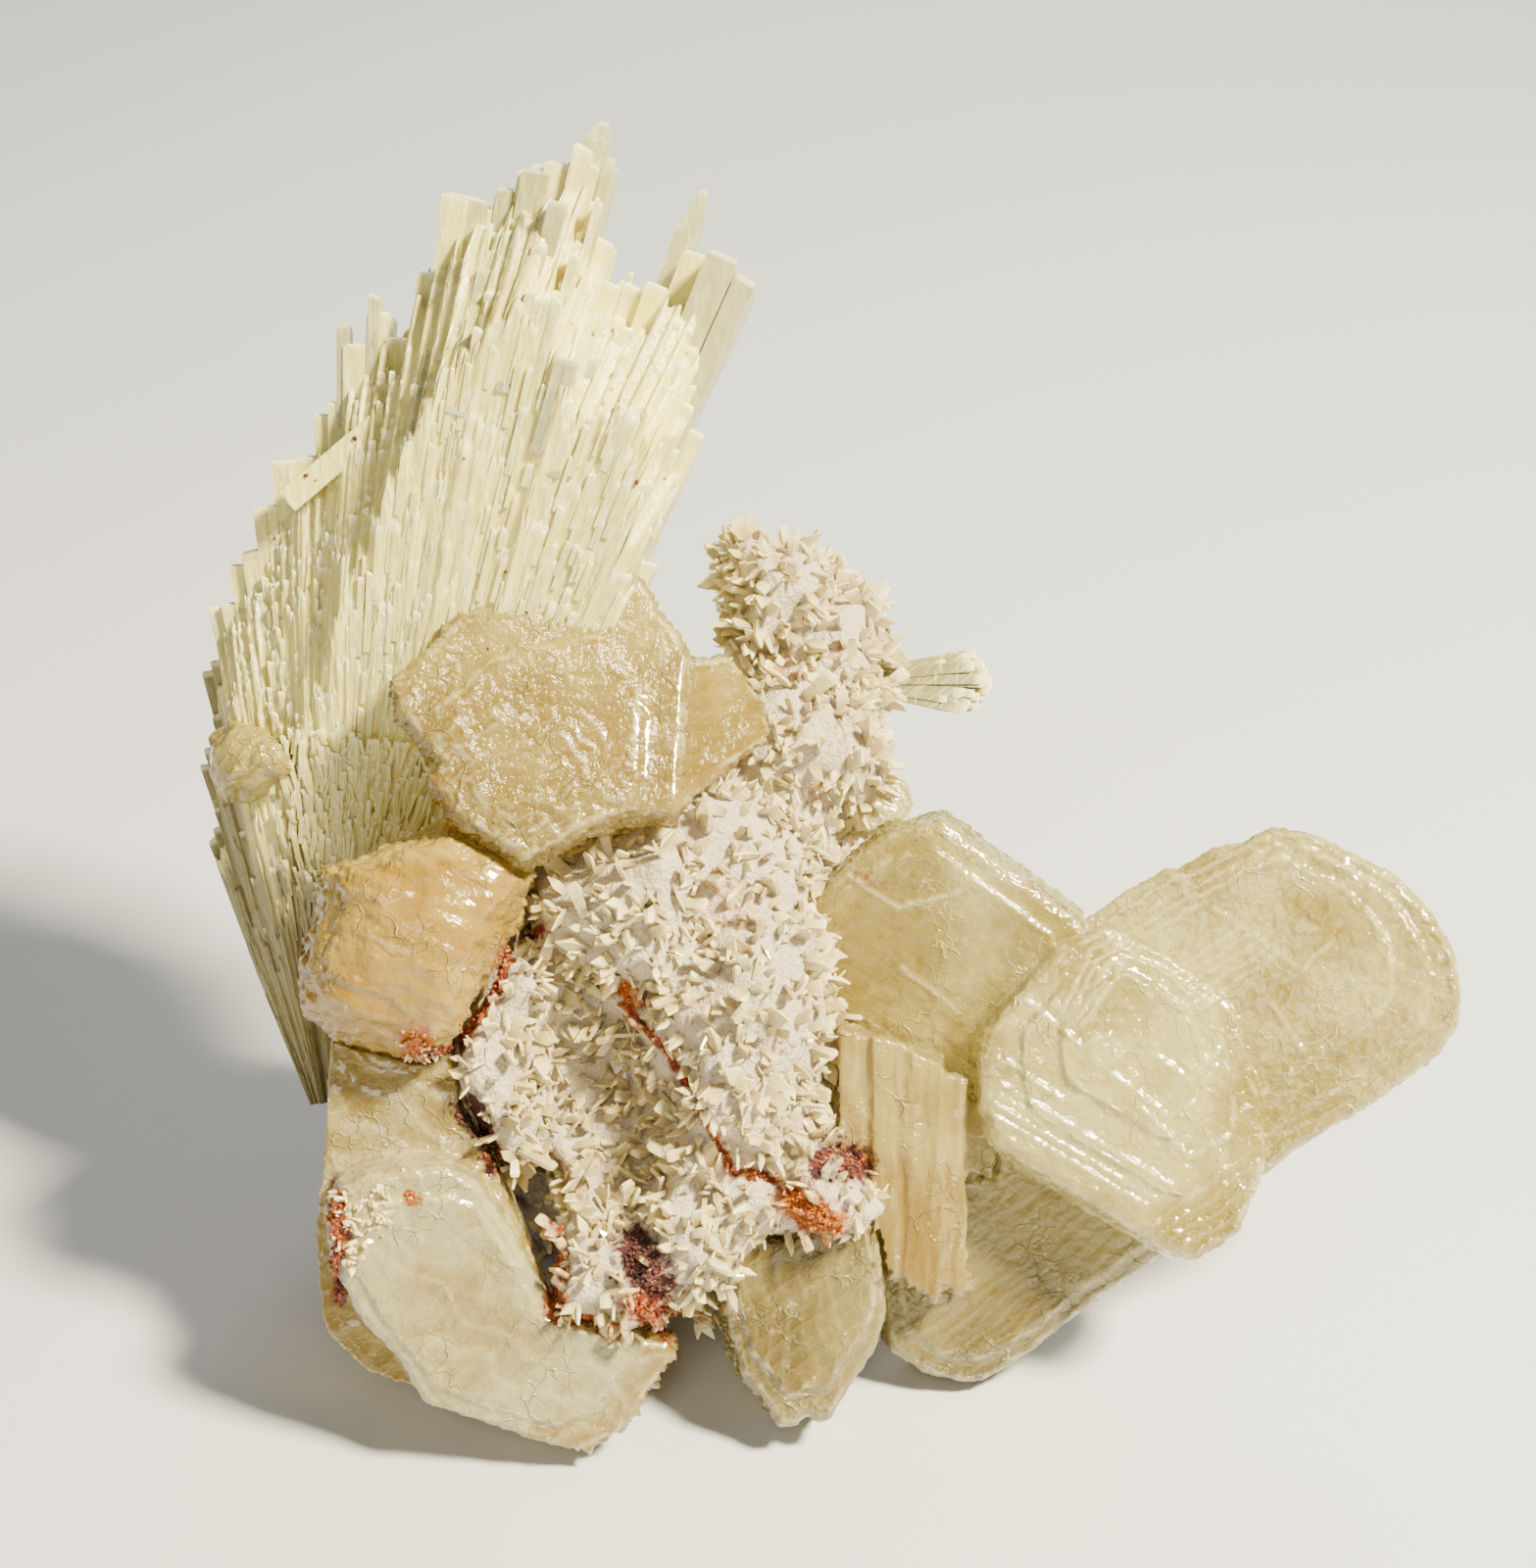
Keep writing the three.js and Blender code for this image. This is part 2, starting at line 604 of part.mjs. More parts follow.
// Finishes
const finishes = {
  matrix_ridge: { color: 0xe6dccb, roughness: 0.6 },
  scolecite_spray: { color: 0xe9e6cf, roughness: 0.45 },
  lodged_prism: { color: 0xe9e6cf, roughness: 0.4 },
  scolecite_back_fan: { color: 0xc9cbb4, roughness: 0.45 },
  stilbite_upper_leaf: { color: 0xd9b98c, roughness: 0.35 },
  stilbite_left_bun: { color: 0xd6a878, roughness: 0.3 },
  stilbite_left_knob: { color: 0xd9c3a0, roughness: 0.4 },
  stilbite_front_left: { color: 0xc4bb9c, roughness: 0.3 },
  stilbite_front_mid: { color: 0xcfc09c, roughness: 0.3 },
  stilbite_right_twin: { color: 0xcbc39b, roughness: 0.25 },
  stilbite_right_lower: { color: 0xcdb98c, roughness: 0.3 },
  stilbite_right_sheaf: { color: 0xd8b48c, roughness: 0.35 },
  small_glassy_blade: { color: 0xd5d2c0, roughness: 0.2 },
};

function meshOf(name, solid) {
  const { vertProperties, triVerts } = solid.getMesh();
  const geometry = new THREE.BufferGeometry();
  geometry.setAttribute('position', new THREE.BufferAttribute(vertProperties, 3));
  geometry.setIndex(new THREE.BufferAttribute(triVerts, 1));
  const material = new THREE.MeshStandardMaterial({ ...finishes[name], flatShading: true });
  const mesh = new THREE.Mesh(geometry, material);
  mesh.name = name;
  return mesh;
}

const face = new THREE.Group();
face.position.copy(FACE_PLACE);
face.rotation.x = -LEAN;
Object.entries(pieces).forEach(([name, solid]) => face.add(meshOf(name, solid)));

const specimen = new THREE.Group();
specimen.add(face);
export default specimen;
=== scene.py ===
# %% [markdown]
# # A scolecite and stilbite specimen
# The specimen is about 85 mm across: a fan of white scolecite needles, a handful of peach and
# glassy stilbite blades, and a lump of rock under a crust of small druse crystals. The packed
# solids give the forms and the places. This lesson dresses them piece by piece. Everything is
# worked out in millimetres on the specimen's display face, because every crystal was measured
# there, and is turned into the frame's metres at the very end of its making.

import math
import random

import bmesh
import bpy
from mathutils import Matrix, Vector, noise
from mathutils.bvhtree import BVHTree


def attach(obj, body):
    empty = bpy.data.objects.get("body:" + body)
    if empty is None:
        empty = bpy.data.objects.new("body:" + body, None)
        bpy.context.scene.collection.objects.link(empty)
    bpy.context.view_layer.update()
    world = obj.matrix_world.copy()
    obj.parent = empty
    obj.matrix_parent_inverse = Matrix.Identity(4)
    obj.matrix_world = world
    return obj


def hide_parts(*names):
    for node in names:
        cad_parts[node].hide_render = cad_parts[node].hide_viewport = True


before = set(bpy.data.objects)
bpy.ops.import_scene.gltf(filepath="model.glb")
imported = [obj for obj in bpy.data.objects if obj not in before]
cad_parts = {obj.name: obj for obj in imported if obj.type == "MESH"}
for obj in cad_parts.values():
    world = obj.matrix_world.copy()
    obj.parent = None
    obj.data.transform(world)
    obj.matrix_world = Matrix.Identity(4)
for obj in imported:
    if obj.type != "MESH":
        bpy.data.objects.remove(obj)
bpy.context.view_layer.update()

# %% [markdown]
# ## The display face
# The display face leans back by 29 degrees. On it x runs to the right, y into the specimen and
# z up along the face. One matrix takes a point in face millimetres to the frame in metres, and
# its inverse brings a copy of a solid back onto the face, where it is easy to work on.

# %% The face matrix
LEAN = math.radians(29)
FACE_PLACE = Vector((5, -5, 38))
MILLIMETRE = 0.001
FACE = (
    Matrix.Scale(MILLIMETRE, 4)
    @ Matrix.Translation(FACE_PLACE)
    @ Matrix.Rotation(-LEAN, 4, "X")
)
OFF_FACE = FACE.inverted()
TOWARDS_VIEWER = Vector((0, -1, 0))


def clamp(value, low=0.0, high=1.0):
    return max(low, min(high, value))


def lerp(low, high, share):
    return low + (high - low) * share


def smooth_step(value, low, high):
    share = clamp((value - low) / (high - low))
    return share * share * (3 - 2 * share)


print("a point in the middle of the face lies at", FACE @ Vector((0, 0, 0)))

# %% [markdown]
# ## Building blocks for finishes
# Each finish is a small tree of shader nodes. A helper that makes a node, sets its options and
# links or fills its inputs keeps the trees readable, and a second one opens a node group with
# named inputs and outputs, so that an effect is drawn once and used in many finishes.


# %% Node helpers
def add(tree, kind, inputs=None, options=None):
    """A node with its options set. A socket among its inputs is linked, a value is filled in."""
    made = tree.nodes.new("ShaderNode" + kind)
    for key, value in (options or {}).items():
        setattr(made, key, value)
    for key, value in (inputs or {}).items():
        if isinstance(value, bpy.types.NodeSocket):
            tree.links.new(value, made.inputs[key])
        else:
            made.inputs[key].default_value = value
    return made


def maths(tree, operation, first, second=0.0):
    return add(tree, "Math", {0: first, 1: second}, {"operation": operation}).outputs[0]


def plus(tree, first, second, times):
    """One value with a share of another added to it."""
    return maths(tree, "ADD", first, maths(tree, "MULTIPLY", second, times))


def mix(tree, share, first, second):
    """One colour turning into another by a mask."""
    inputs = {0: share, 6: first, 7: second}
    return add(tree, "Mix", inputs, {"data_type": "RGBA"}).outputs[2]


def tint(tree, colour, other, mask, most):
    """A colour that turns into another where a mask is 1, as far as most says."""
    return mix(tree, maths(tree, "MULTIPLY", mask, most), colour, other)


def spread(tree, value, low, high, to_low=0.0, to_high=1.0):
    """A mask stretched from one range to another, and held inside it."""
    inputs = {"Value": value, "From Min": low, "From Max": high,
              "To Min": to_low, "To Max": to_high}
    return add(tree, "MapRange", inputs).outputs[0]


print("nodes can be added and colours mixed")


# %% Node groups and attributes
def open_group(name, inputs, outputs):
    """A node group with named sockets. Gives its tree, what goes in and what comes out."""
    tree = bpy.data.node_groups.new(name, "ShaderNodeTree")
    for label, kind, value in inputs:
        socket = tree.interface.new_socket(label, in_out="INPUT", socket_type="NodeSocket" + kind)
        if value is not None:
            socket.default_value = value
    for label, kind in outputs:
        tree.interface.new_socket(label, in_out="OUTPUT", socket_type="NodeSocket" + kind)
    return tree, tree.nodes.new("NodeGroupInput").outputs, tree.nodes.new("NodeGroupOutput").inputs


def place(tree, group, inputs=None):
    """A node group set into a finish with its own values."""
    return add(tree, "Group", inputs, {"node_tree": group}).outputs


def attribute(tree, name):
    return add(tree, "Attribute", options={"attribute_name": name}).outputs["Fac"]


print("node groups can be opened and placed")

# %% [markdown]
# ## Shared effects
# - **Face millimetres** turns the object's own coordinates back onto the display face.
# - **Milky clouds** are the cloudy zones inside a crystal, broad ones and fine ones.
# - **Growth lines** are the parallel steps that a crystal face grows by.
# - **Edge lines** are the ends of the sheets that a blade is a stack of, one inside the other
#   along its rim. They are low relief, and the bright lines on them and on the rim are painted
#   highlight.
# - **Inclusions** are flecks, cracks and tiny cavities that catch the light under the surface:
#   they give a little relief, and their brightness is painted highlight.
# - **Iron stain** is rust on the crystals: orange where it is thin and maroon where it is thick.

# %% Face millimetres
face_mm, _, out = open_group("Face millimetres", [], [("Vector", "Vector")])
turn_back = Matrix.Rotation(LEAN, 3, "X")
mapping = add(
    face_mm,
    "Mapping",
    {
        "Vector": add(face_mm, "TexCoord").outputs["Object"],
        "Location": -(turn_back @ FACE_PLACE),
        "Rotation": (LEAN, 0, 0),
        "Scale": (1 / MILLIMETRE,) * 3,
    },
)
face_mm.links.new(mapping.outputs[0], out["Vector"])
print(face_mm.name, "has", len(face_mm.nodes), "nodes")

# %% Milky clouds
clouds, given, out = open_group(
    "Milky clouds",
    [("Vector", "Vector", None), ("Broad", "Float", 0.12), ("Fine", "Float", 0.9)],
    [("Broad", "Float"), ("Fine", "Float")],
)
for label, detail, low, high in (("Broad", 2.0, 0.36, 0.66), ("Fine", 4.0, 0.3, 0.72)):
    inputs = {"Vector": given["Vector"], "Scale": given[label], "Detail": detail, "Roughness": 0.6}
    cloud = add(clouds, "TexNoise", inputs).outputs["Fac"]
    clouds.links.new(spread(clouds, cloud, low, high), out[label])
print(clouds.name, "has", len(clouds.nodes), "nodes")

# %% Growth lines
ONE_WAVE = 0.314  # the scale at which a wave texture has one band in each unit
lines, given, out = open_group(
    "Growth lines",
    [
        ("Vector", "Vector", None),
        ("Turn", "Float", 0.0),
        ("Spacing", "Float", 1.0),
        ("Wander", "Float", 2.0),
    ],
    [("Height", "Float")],
)
turned = add(
    lines,
    "VectorRotate",
    {"Vector": given["Vector"], "Angle": given["Turn"]},
    {"rotation_type": "Y_AXIS"},
).outputs[0]
per_mm = maths(lines, "DIVIDE", ONE_WAVE, given["Spacing"])
broad_lines = add(
    lines,
    "TexWave",
    {"Vector": turned, "Scale": per_mm, "Distortion": given["Wander"], "Detail": 2.0,
     "Detail Scale": 1.4},
    {"bands_direction": "Z", "wave_profile": "SAW"},
).outputs["Fac"]
fine_lines = add(
    lines,
    "TexWave",
    {"Vector": turned, "Scale": maths(lines, "MULTIPLY", per_mm, 3.7),
     "Distortion": maths(lines, "MULTIPLY", given["Wander"], 1.6), "Detail": 1.0},
    {"bands_direction": "Z", "wave_profile": "SAW"},
).outputs["Fac"]
lines.links.new(plus(lines, broad_lines, fine_lines, 0.35), out["Height"])
print(lines.name, "has", len(lines.nodes), "nodes")

# %% Edge lines
# "Near Rim" is RIM_REACH on the rim and falls by 1 with every millimetre away from it
RIM_REACH = 6.0
edge_lines, given, out = open_group(
    "Edge lines",
    [("Vector", "Vector", None), ("Near Rim", "Float", 0.0), ("Spacing", "Float", 0.5)],
    [("Height", "Float"), ("Line", "Float"), ("Rim", "Float")],
)
drift = add(edge_lines, "TexNoise", {"Vector": given["Vector"], "Scale": 0.45, "Detail": 2.0})
phase = maths(edge_lines, "DIVIDE", given["Near Rim"], given["Spacing"])
phase = plus(edge_lines, phase, drift.outputs["Fac"], 3.4)
sheet_end = maths(edge_lines, "FRACT", phase)
fade = spread(edge_lines, given["Near Rim"], RIM_REACH - 2.6, RIM_REACH - 0.6)
breaks = add(edge_lines, "TexNoise", {"Vector": given["Vector"], "Scale": 0.8, "Detail": 2.0})
gaps = spread(edge_lines, breaks.outputs["Fac"], 0.46, 0.56)
fade = maths(edge_lines, "MULTIPLY", fade, gaps)
edge_lines.links.new(maths(edge_lines, "MULTIPLY", sheet_end, fade), out["Height"])
# Line and Rim are masks for painted highlight: bright lines on the sheet ends and on the rim
sharp_end = spread(edge_lines, sheet_end, 0.88, 0.97)
edge_lines.links.new(maths(edge_lines, "MULTIPLY", sharp_end, fade), out["Line"])
rim_line = spread(edge_lines, given["Near Rim"], RIM_REACH - 0.3, RIM_REACH - 0.05)
edge_lines.links.new(maths(edge_lines, "MULTIPLY", rim_line, gaps), out["Rim"])
print(edge_lines.name, "has", len(edge_lines.nodes), "nodes")

# %% Inclusions
inclusions, given, out = open_group(
    "Inclusions",
    [("Vector", "Vector", None), ("Fleck Scale", "Float", 1.6), ("Crack Scale", "Float", 0.5)],
    [("Flecks", "Float"), ("Cracks", "Float")],
)
warp = add(inclusions, "TexNoise", {"Vector": given["Vector"], "Scale": 0.5, "Detail": 2.0})
warped = add(
    inclusions,
    "VectorMath",
    {0: warp.outputs["Color"], 1: (2.6, 2.6, 2.6), 2: given["Vector"]},
    {"operation": "MULTIPLY_ADD"},
).outputs[0]
cells = add(inclusions, "TexVoronoi", {"Vector": given["Vector"], "Scale": given["Fleck Scale"]})
where = add(inclusions, "TexNoise", {"Vector": given["Vector"], "Scale": 0.3, "Detail": 0.0})
patchy = spread(inclusions, where.outputs["Fac"], 0.5, 0.62)
# Flecks and Cracks give relief, and the finishes also paint them bright, as painted glints
flecks = spread(inclusions, cells.outputs["Distance"], 0.3, 0.12)
inclusions.links.new(maths(inclusions, "MULTIPLY", flecks, patchy), out["Flecks"])
edges = add(
    inclusions,
    "TexVoronoi",
    {"Vector": warped, "Scale": given["Crack Scale"]},
    {"feature": "DISTANCE_TO_EDGE"},
).outputs["Distance"]
cracks = maths(inclusions, "MULTIPLY", spread(inclusions, edges, 0.04, 0.0), patchy)
inclusions.links.new(cracks, out["Cracks"])
print(inclusions.name, "has", len(inclusions.nodes), "nodes")

# %% Iron stain
ORANGE_RUST = (0.48, 0.13, 0.008, 1)
BRICK_RUST = (0.28, 0.045, 0.01, 1)
MAROON_RUST = (0.06, 0.014, 0.016, 1)
stain, given, out = open_group(
    "Iron stain",
    [
        ("Vector", "Vector", None),
        ("Colour", "Color", (1, 1, 1, 1)),
        ("Amount", "Float", 0.0),
        ("Depth", "Float", 0.0),
    ],
    [("Colour", "Color")],
)
grain = add(stain, "TexNoise", {"Vector": given["Vector"], "Scale": 1.7, "Detail": 3.0})
uneven = spread(stain, grain.outputs["Fac"], 0.3, 0.7, -0.35, 0.35)
depth = maths(stain, "ADD", given["Depth"], uneven)
rust = mix(stain, spread(stain, depth, 0.05, 0.5), ORANGE_RUST, BRICK_RUST)
rust = mix(stain, spread(stain, depth, 0.5, 0.9), rust, MAROON_RUST)
amount = spread(stain, maths(stain, "ADD", given["Amount"], uneven), 0.25, 0.75)
amount = maths(stain, "MULTIPLY", amount, spread(stain, given["Amount"], 0.0, 0.25))
stain.links.new(mix(stain, amount, given["Colour"], rust), out["Colour"])

print("node groups:", len(bpy.data.node_groups))

# %% [markdown]
# ## Finishes
# Both minerals are see-through but cloudy. The stilbite is a mixture of milky and clear zones:
# half of its light goes through by plain transmission, and a thin wet coat gives the sparkle.
# The scolecite is milkier, and light comes out of it a little further on, by subsurface
# scattering. The druse crystals are too small to show either, and only glint. Values that are
# the same all over are set on the shader itself, and only what changes over the surface comes
# from nodes.


# %% Start a finish
def finish(name, constants):
    """A material with its shader's constants set, and the point on the face that it colours."""
    made = bpy.data.materials.new(name)
    made.use_nodes = True
    tree = made.node_tree
    shader = next(n for n in tree.nodes if n.type == "BSDF_PRINCIPLED")
    for label, value in constants.items():
        shader.inputs[label].default_value = value
    return made, tree, shader, place(tree, face_mm)["Vector"]


def bump(tree, shader, height, strength, distance):
    """Fine relief by shading alone. The distance is in metres."""
    inputs = {"Height": height, "Strength": strength, "Distance": distance}
    tree.links.new(add(tree, "Bump", inputs).outputs[0], shader.inputs["Normal"])


def roughen(tree, shader, value, limits, rough):
    """Roughness that follows a value, from one pair of limits to another."""
    tree.links.new(spread(tree, value, *limits, *rough), shader.inputs["Roughness"])


def rust_over(tree, shader, at, colour):
    """The finish's colour, under the rust that the mesh carries in its points."""
    inputs = {"Vector": at, "Colour": colour, "Amount": attribute(tree, "stain"),
              "Depth": attribute(tree, "rust")}
    tree.links.new(place(tree, stain, inputs)["Colour"], shader.inputs["Base Color"])


print("a finish can be started, made rough, bumpy and rusty")


# %% [markdown]
# ** Stilbite** is pearly: pale, milky zones float over a deeper honey colour, growth lines run
# over the faces, and small flecks and cracks inside throw back the light. That pearly light is
# painted highlight: the growth lines, steps, flecks, cracks and rim lines are mixed towards a
# bright pearl colour.


# %% Stilbite finish
# A painted highlight colour: growth lines, steps, glints in flecks and cracks and rim lines turn
# to it
PEARL_HIGHLIGHT = (0.97, 0.89, 0.48, 1)


def stilbite(name, deep, milky, lines_at, clear, rough, cracks=0.25):
    """lines_at is the turn of the growth lines in degrees and their spacing in millimetres."""
    made, tree, shader, at = finish(
        name,
        {
            "IOR": 1.5,
            "Transmission Weight": clear,
            "Coat Weight": 0.7,
            "Coat Roughness": 0.05,
        },
    )
    cloud = place(tree, clouds, {"Vector": at, "Broad": 0.13, "Fine": 1.1})
    inside = place(tree, inclusions, {"Vector": at})
    sheet = place(
        tree,
        edge_lines,
        {"Vector": at, "Near Rim": attribute(tree, "near_rim"), "Spacing": 0.75},
    )
    growth = place(
        tree,
        lines,
        {"Vector": at, "Turn": math.radians(lines_at[0]), "Spacing": lines_at[1], "Wander": 3.0},
    )["Height"]
    pale = plus(tree, cloud["Broad"], cloud["Fine"], 0.35)
    pale = maths(tree, "ADD", pale, attribute(tree, "milk"))
    colour = mix(tree, spread(tree, pale, 0.3, 1.05), deep, milky)
    # Painted highlight from here on: growth lines, glints of flecks and cracks, growth steps, rim
    # lines
    colour = tint(tree, colour, PEARL_HIGHLIGHT, growth, 0.07)
    bright = plus(tree, maths(tree, "MULTIPLY", inside["Flecks"], 0.4), inside["Cracks"], cracks)
    colour = mix(tree, spread(tree, bright, 0.0, 1.0, 0.0, 0.8), colour, PEARL_HIGHLIGHT)
    colour = tint(tree, colour, PEARL_HIGHLIGHT, attribute(tree, "step"), 0.6)
    painted_rim_lines = plus(tree, maths(tree, "MULTIPLY", sheet["Line"], 0.3), sheet["Rim"], 0.5)
    colour = mix(tree, painted_rim_lines, colour, PEARL_HIGHLIGHT)
    rust_over(tree, shader, at, colour)
    roughen(tree, shader, cloud["Fine"], (0.0, 1.0), (rough * 0.5, rough * 1.6))
    relief = plus(tree, maths(tree, "MULTIPLY", growth, 0.45), cloud["Fine"], 0.6)
    relief = plus(tree, relief, inside["Cracks"], 0.8)
    relief = plus(tree, relief, sheet["Height"], 0.6)
    bump(tree, shader, relief, 0.8, 0.0002)
    return made


print("pearl, the brightest colour in stilbite:", PEARL_HIGHLIGHT[:3])

# %% Six kinds of stilbite
# name, deep colour, milky colour, growth lines, clearness, roughness, painted glint of the cracks
stilbite_peach = stilbite(
    "stilbite_peach", (0.3, 0.19, 0.02, 1), (0.5, 0.39, 0.1, 1), (20, 1.2), 0.45, 0.16)
stilbite_ribbed = stilbite(
    "stilbite_ribbed", (0.34, 0.21, 0.03, 1), (0.52, 0.4, 0.13, 1), (86, 0.7), 0.45, 0.16)
stilbite_amber = stilbite(
    "stilbite_amber", (0.44, 0.24, 0.015, 1), (0.62, 0.42, 0.08, 1), (-8, 1.0), 0.4, 0.08)
stilbite_honey = stilbite(
    "stilbite_honey", (0.18, 0.12, 0.02, 1), (0.37, 0.29, 0.1, 1), (36, 1.0), 0.45, 0.12)
stilbite_pale = stilbite(
    "stilbite_pale", (0.4, 0.27, 0.06, 1), (0.6, 0.54, 0.3, 1), (35, 1.3), 0.45, 0.08, 0.6)
stilbite_clear = stilbite(
    "stilbite_clear", (0.36, 0.26, 0.04, 1), (0.7, 0.62, 0.25, 1), (-33, 1.2), 0.55, 0.06, 0.8)
print("stilbite finishes are ready")

# %% [markdown]
# **Scolecite** grows in needles that all point away from one root. Their fine striae follow the
# needles, so the pattern is drawn in the angles around the root and not in straight x, y and z.
# Each needle also carries its own tone and its distance below its tip, because the clear ends
# of the needles look greyer than the milky body below them. The white of the very tips, of the
# bright streaks and flecks and of the ledges is painted highlight.

# %% Needle striae
FAN_POINT = Vector((-30.6, 12, -27.4))
FAN_LEAN = -0.2
# Painted highlight colour: the needle tips, bright streaks, flecks and ledges turn towards it
HIGHLIGHT_WHITE = (0.98, 0.93, 0.56, 1)
# Partly real beige, partly painted shade: the left flank faces away from the key light
FLANK_BEIGE_AND_SHADE = (0.19, 0.15, 0.075, 1)
striae, given, out = open_group(
    "Needle striae",
    [("Vector", "Vector", None)],
    [("Height", "Float"), ("Patches", "Float"), ("Flecks", "Float")],
)
from_root = add(
    striae, "VectorMath", {0: given["Vector"], 1: tuple(FAN_POINT)}, {"operation": "SUBTRACT"})
split = add(striae, "SeparateXYZ", {"Vector": from_root.outputs[0]}).outputs
angles = add(
    striae,
    "CombineXYZ",
    {
        "X": maths(striae, "DIVIDE", split["X"], split["Z"]),
        "Y": maths(striae, "DIVIDE", split["Y"], split["Z"]),
        "Z": maths(striae, "MULTIPLY", split["Z"], 0.006),
    },
).outputs[0]
fine = add(striae, "TexNoise", {"Vector": angles, "Scale": 90.0, "Detail": 3.0})
striae.links.new(fine.outputs["Fac"], out["Height"])
broad = add(striae, "TexNoise", {"Vector": angles, "Scale": 14.0, "Detail": 2.0})
striae.links.new(spread(striae, broad.outputs["Fac"], 0.35, 0.65), out["Patches"])
short = add(striae, "CombineXYZ", {"X": maths(striae, "MULTIPLY", split["X"], 3.2),
                                   "Y": split["Y"],
                                   "Z": maths(striae, "MULTIPLY", split["Z"], 0.55)})
specks = add(striae, "TexNoise", {"Vector": short.outputs[0], "Scale": 1.0, "Detail": 1.0})
striae.links.new(spread(striae, specks.outputs["Fac"], 0.58, 0.72), out["Flecks"])
print(striae.name, "has", len(striae.nodes), "nodes")


# %% Scolecite finish
def scolecite(name, milky, shaded, clear_end, scatter, see_through):
    made, tree, shader, at = finish(
        name,
        {
            "IOR": 1.51,
            "Subsurface Weight": scatter,
            "Subsurface Radius": (1.0, 0.85, 0.4),
            "Subsurface Scale": 0.001,
            "Transmission Weight": see_through,
        },
    )
    fibre = place(tree, striae, {"Vector": at})
    tone = attribute(tree, "tone")
    colour = mix(tree, spread(tree, tone, 0.0, 1.0, 0.0, 0.75), milky, shaded)
    colour = tint(tree, colour, shaded, fibre["Patches"], 0.35)
    below_tip = attribute(tree, "below_tip")
    end = spread(tree, below_tip, 8.0, 0.8, 0.0, 0.6)
    colour = tint(tree, colour, clear_end, end, spread(tree, tone, 0.0, 0.8, 0.4, 1.0))
    # Painted highlight: bright streaks, flecks and ledges turn the colour white
    streaks = spread(tree, fibre["Height"], 0.5, 0.72, 0.0, 0.55)
    colour = mix(tree, streaks, colour, HIGHLIGHT_WHITE)
    colour = tint(tree, colour, HIGHLIGHT_WHITE, fibre["Flecks"], 0.5)
    colour = tint(tree, colour, HIGHLIGHT_WHITE, attribute(tree, "ledge"), 0.9)
    # Painted shade with some real beige: the left flank is darkened
    colour = tint(tree, colour, FLANK_BEIGE_AND_SHADE, attribute(tree, "flank"), 0.85)
    # Painted highlight on the last half millimetre below each tip
    colour = mix(tree, spread(tree, below_tip, 0.55, 0.15, 0.0, 0.9), colour, HIGHLIGHT_WHITE)
    tree.links.new(colour, shader.inputs["Base Color"])
    roughen(tree, shader, fibre["Height"], (0.3, 0.7), (0.2, 0.45))
    bump(tree, shader, fibre["Height"], 0.7, 0.0003)
    return made


print("white rims of the needles:", HIGHLIGHT_WHITE[:3])

# %% Three kinds of scolecite
# name, milky colour, shaded colour, colour of the clear end, scattering, clearness
scolecite_white = scolecite(
    "scolecite_white", (0.88, 0.78, 0.24, 1), (0.58, 0.5, 0.15, 1), (0.68, 0.66, 0.36, 1), 0.15,
    0.0)
scolecite_clear = scolecite(
    "scolecite_clear", (0.7, 0.67, 0.36, 1), (0.36, 0.38, 0.22, 1), (0.64, 0.62, 0.38, 1), 0.15,
    0.4)
scolecite_grey = scolecite(
    "scolecite_grey", (0.3, 0.26, 0.11, 1), (0.18, 0.17, 0.08, 1), (0.4, 0.37, 0.2, 1), 0.2, 0.0)
print("scolecite finishes are ready")

# %% [markdown]
# ** Druse and rock.** The druse crystals are small cream blades, some of them beige or pinkish.
# They are darkened towards their feet and all over in the hollow: that is painted shade between
# them. The rock only shows where it is broken at the back and in the dark cracks: a crumbly
# brown-grey basalt with rust in it.

# %% Druse finish
DRUSE_CREAM = (0.97, 0.88, 0.5, 1)
DRUSE_BEIGE = (0.6, 0.48, 0.24, 1)
DRUSE_PINK = (0.76, 0.56, 0.34, 1)
# Painted shade at the feet of the druse crystals and in the hollow
DRUSE_SHADE = (0.24, 0.18, 0.11, 1)
druse_crust, tree, shader, at = finish(
    "druse_crust",
    {"IOR": 1.5, "Coat Weight": 0.5, "Coat Roughness": 0.05},
)
cloud = place(tree, clouds, {"Vector": at, "Broad": 0.16, "Fine": 1.6})
colour = mix(tree, attribute(tree, "tone"), DRUSE_CREAM, DRUSE_BEIGE)
colour = tint(tree, colour, DRUSE_PINK, cloud["Broad"], 0.2)
colour = mix(tree, spread(tree, attribute(tree, "sunk"), 0.0, 1.0, 0.0, 0.8), colour, DRUSE_SHADE)
rust_over(tree, shader, at, colour)
roughen(tree, shader, cloud["Fine"], (0.0, 1.0), (0.12, 0.4))
bump(tree, shader, cloud["Fine"], 0.4, 0.00015)
print("druse finish is ready")

# %% Rock finish
BASALT_DARK = (0.3, 0.22, 0.17, 1)
BASALT_LIGHT = (0.5, 0.4, 0.32, 1)
ROCK_DUST = (0.72, 0.63, 0.52, 1)
CRUST_FOOT = (0.74, 0.64, 0.52, 1)
rock_face, tree, shader, at = finish("rock_face", {"IOR": 1.5})
cloud = place(tree, clouds, {"Vector": at, "Broad": 0.22, "Fine": 2.4})
colour = mix(tree, cloud["Broad"], BASALT_DARK, BASALT_LIGHT)
colour = mix(tree, spread(tree, cloud["Fine"], 0.55, 1.0), colour, ROCK_DUST)
colour = mix(tree, attribute(tree, "cover"), colour, CRUST_FOOT)
rust_over(tree, shader, at, colour)
roughen(tree, shader, cloud["Fine"], (0.0, 1.0), (0.55, 0.9))
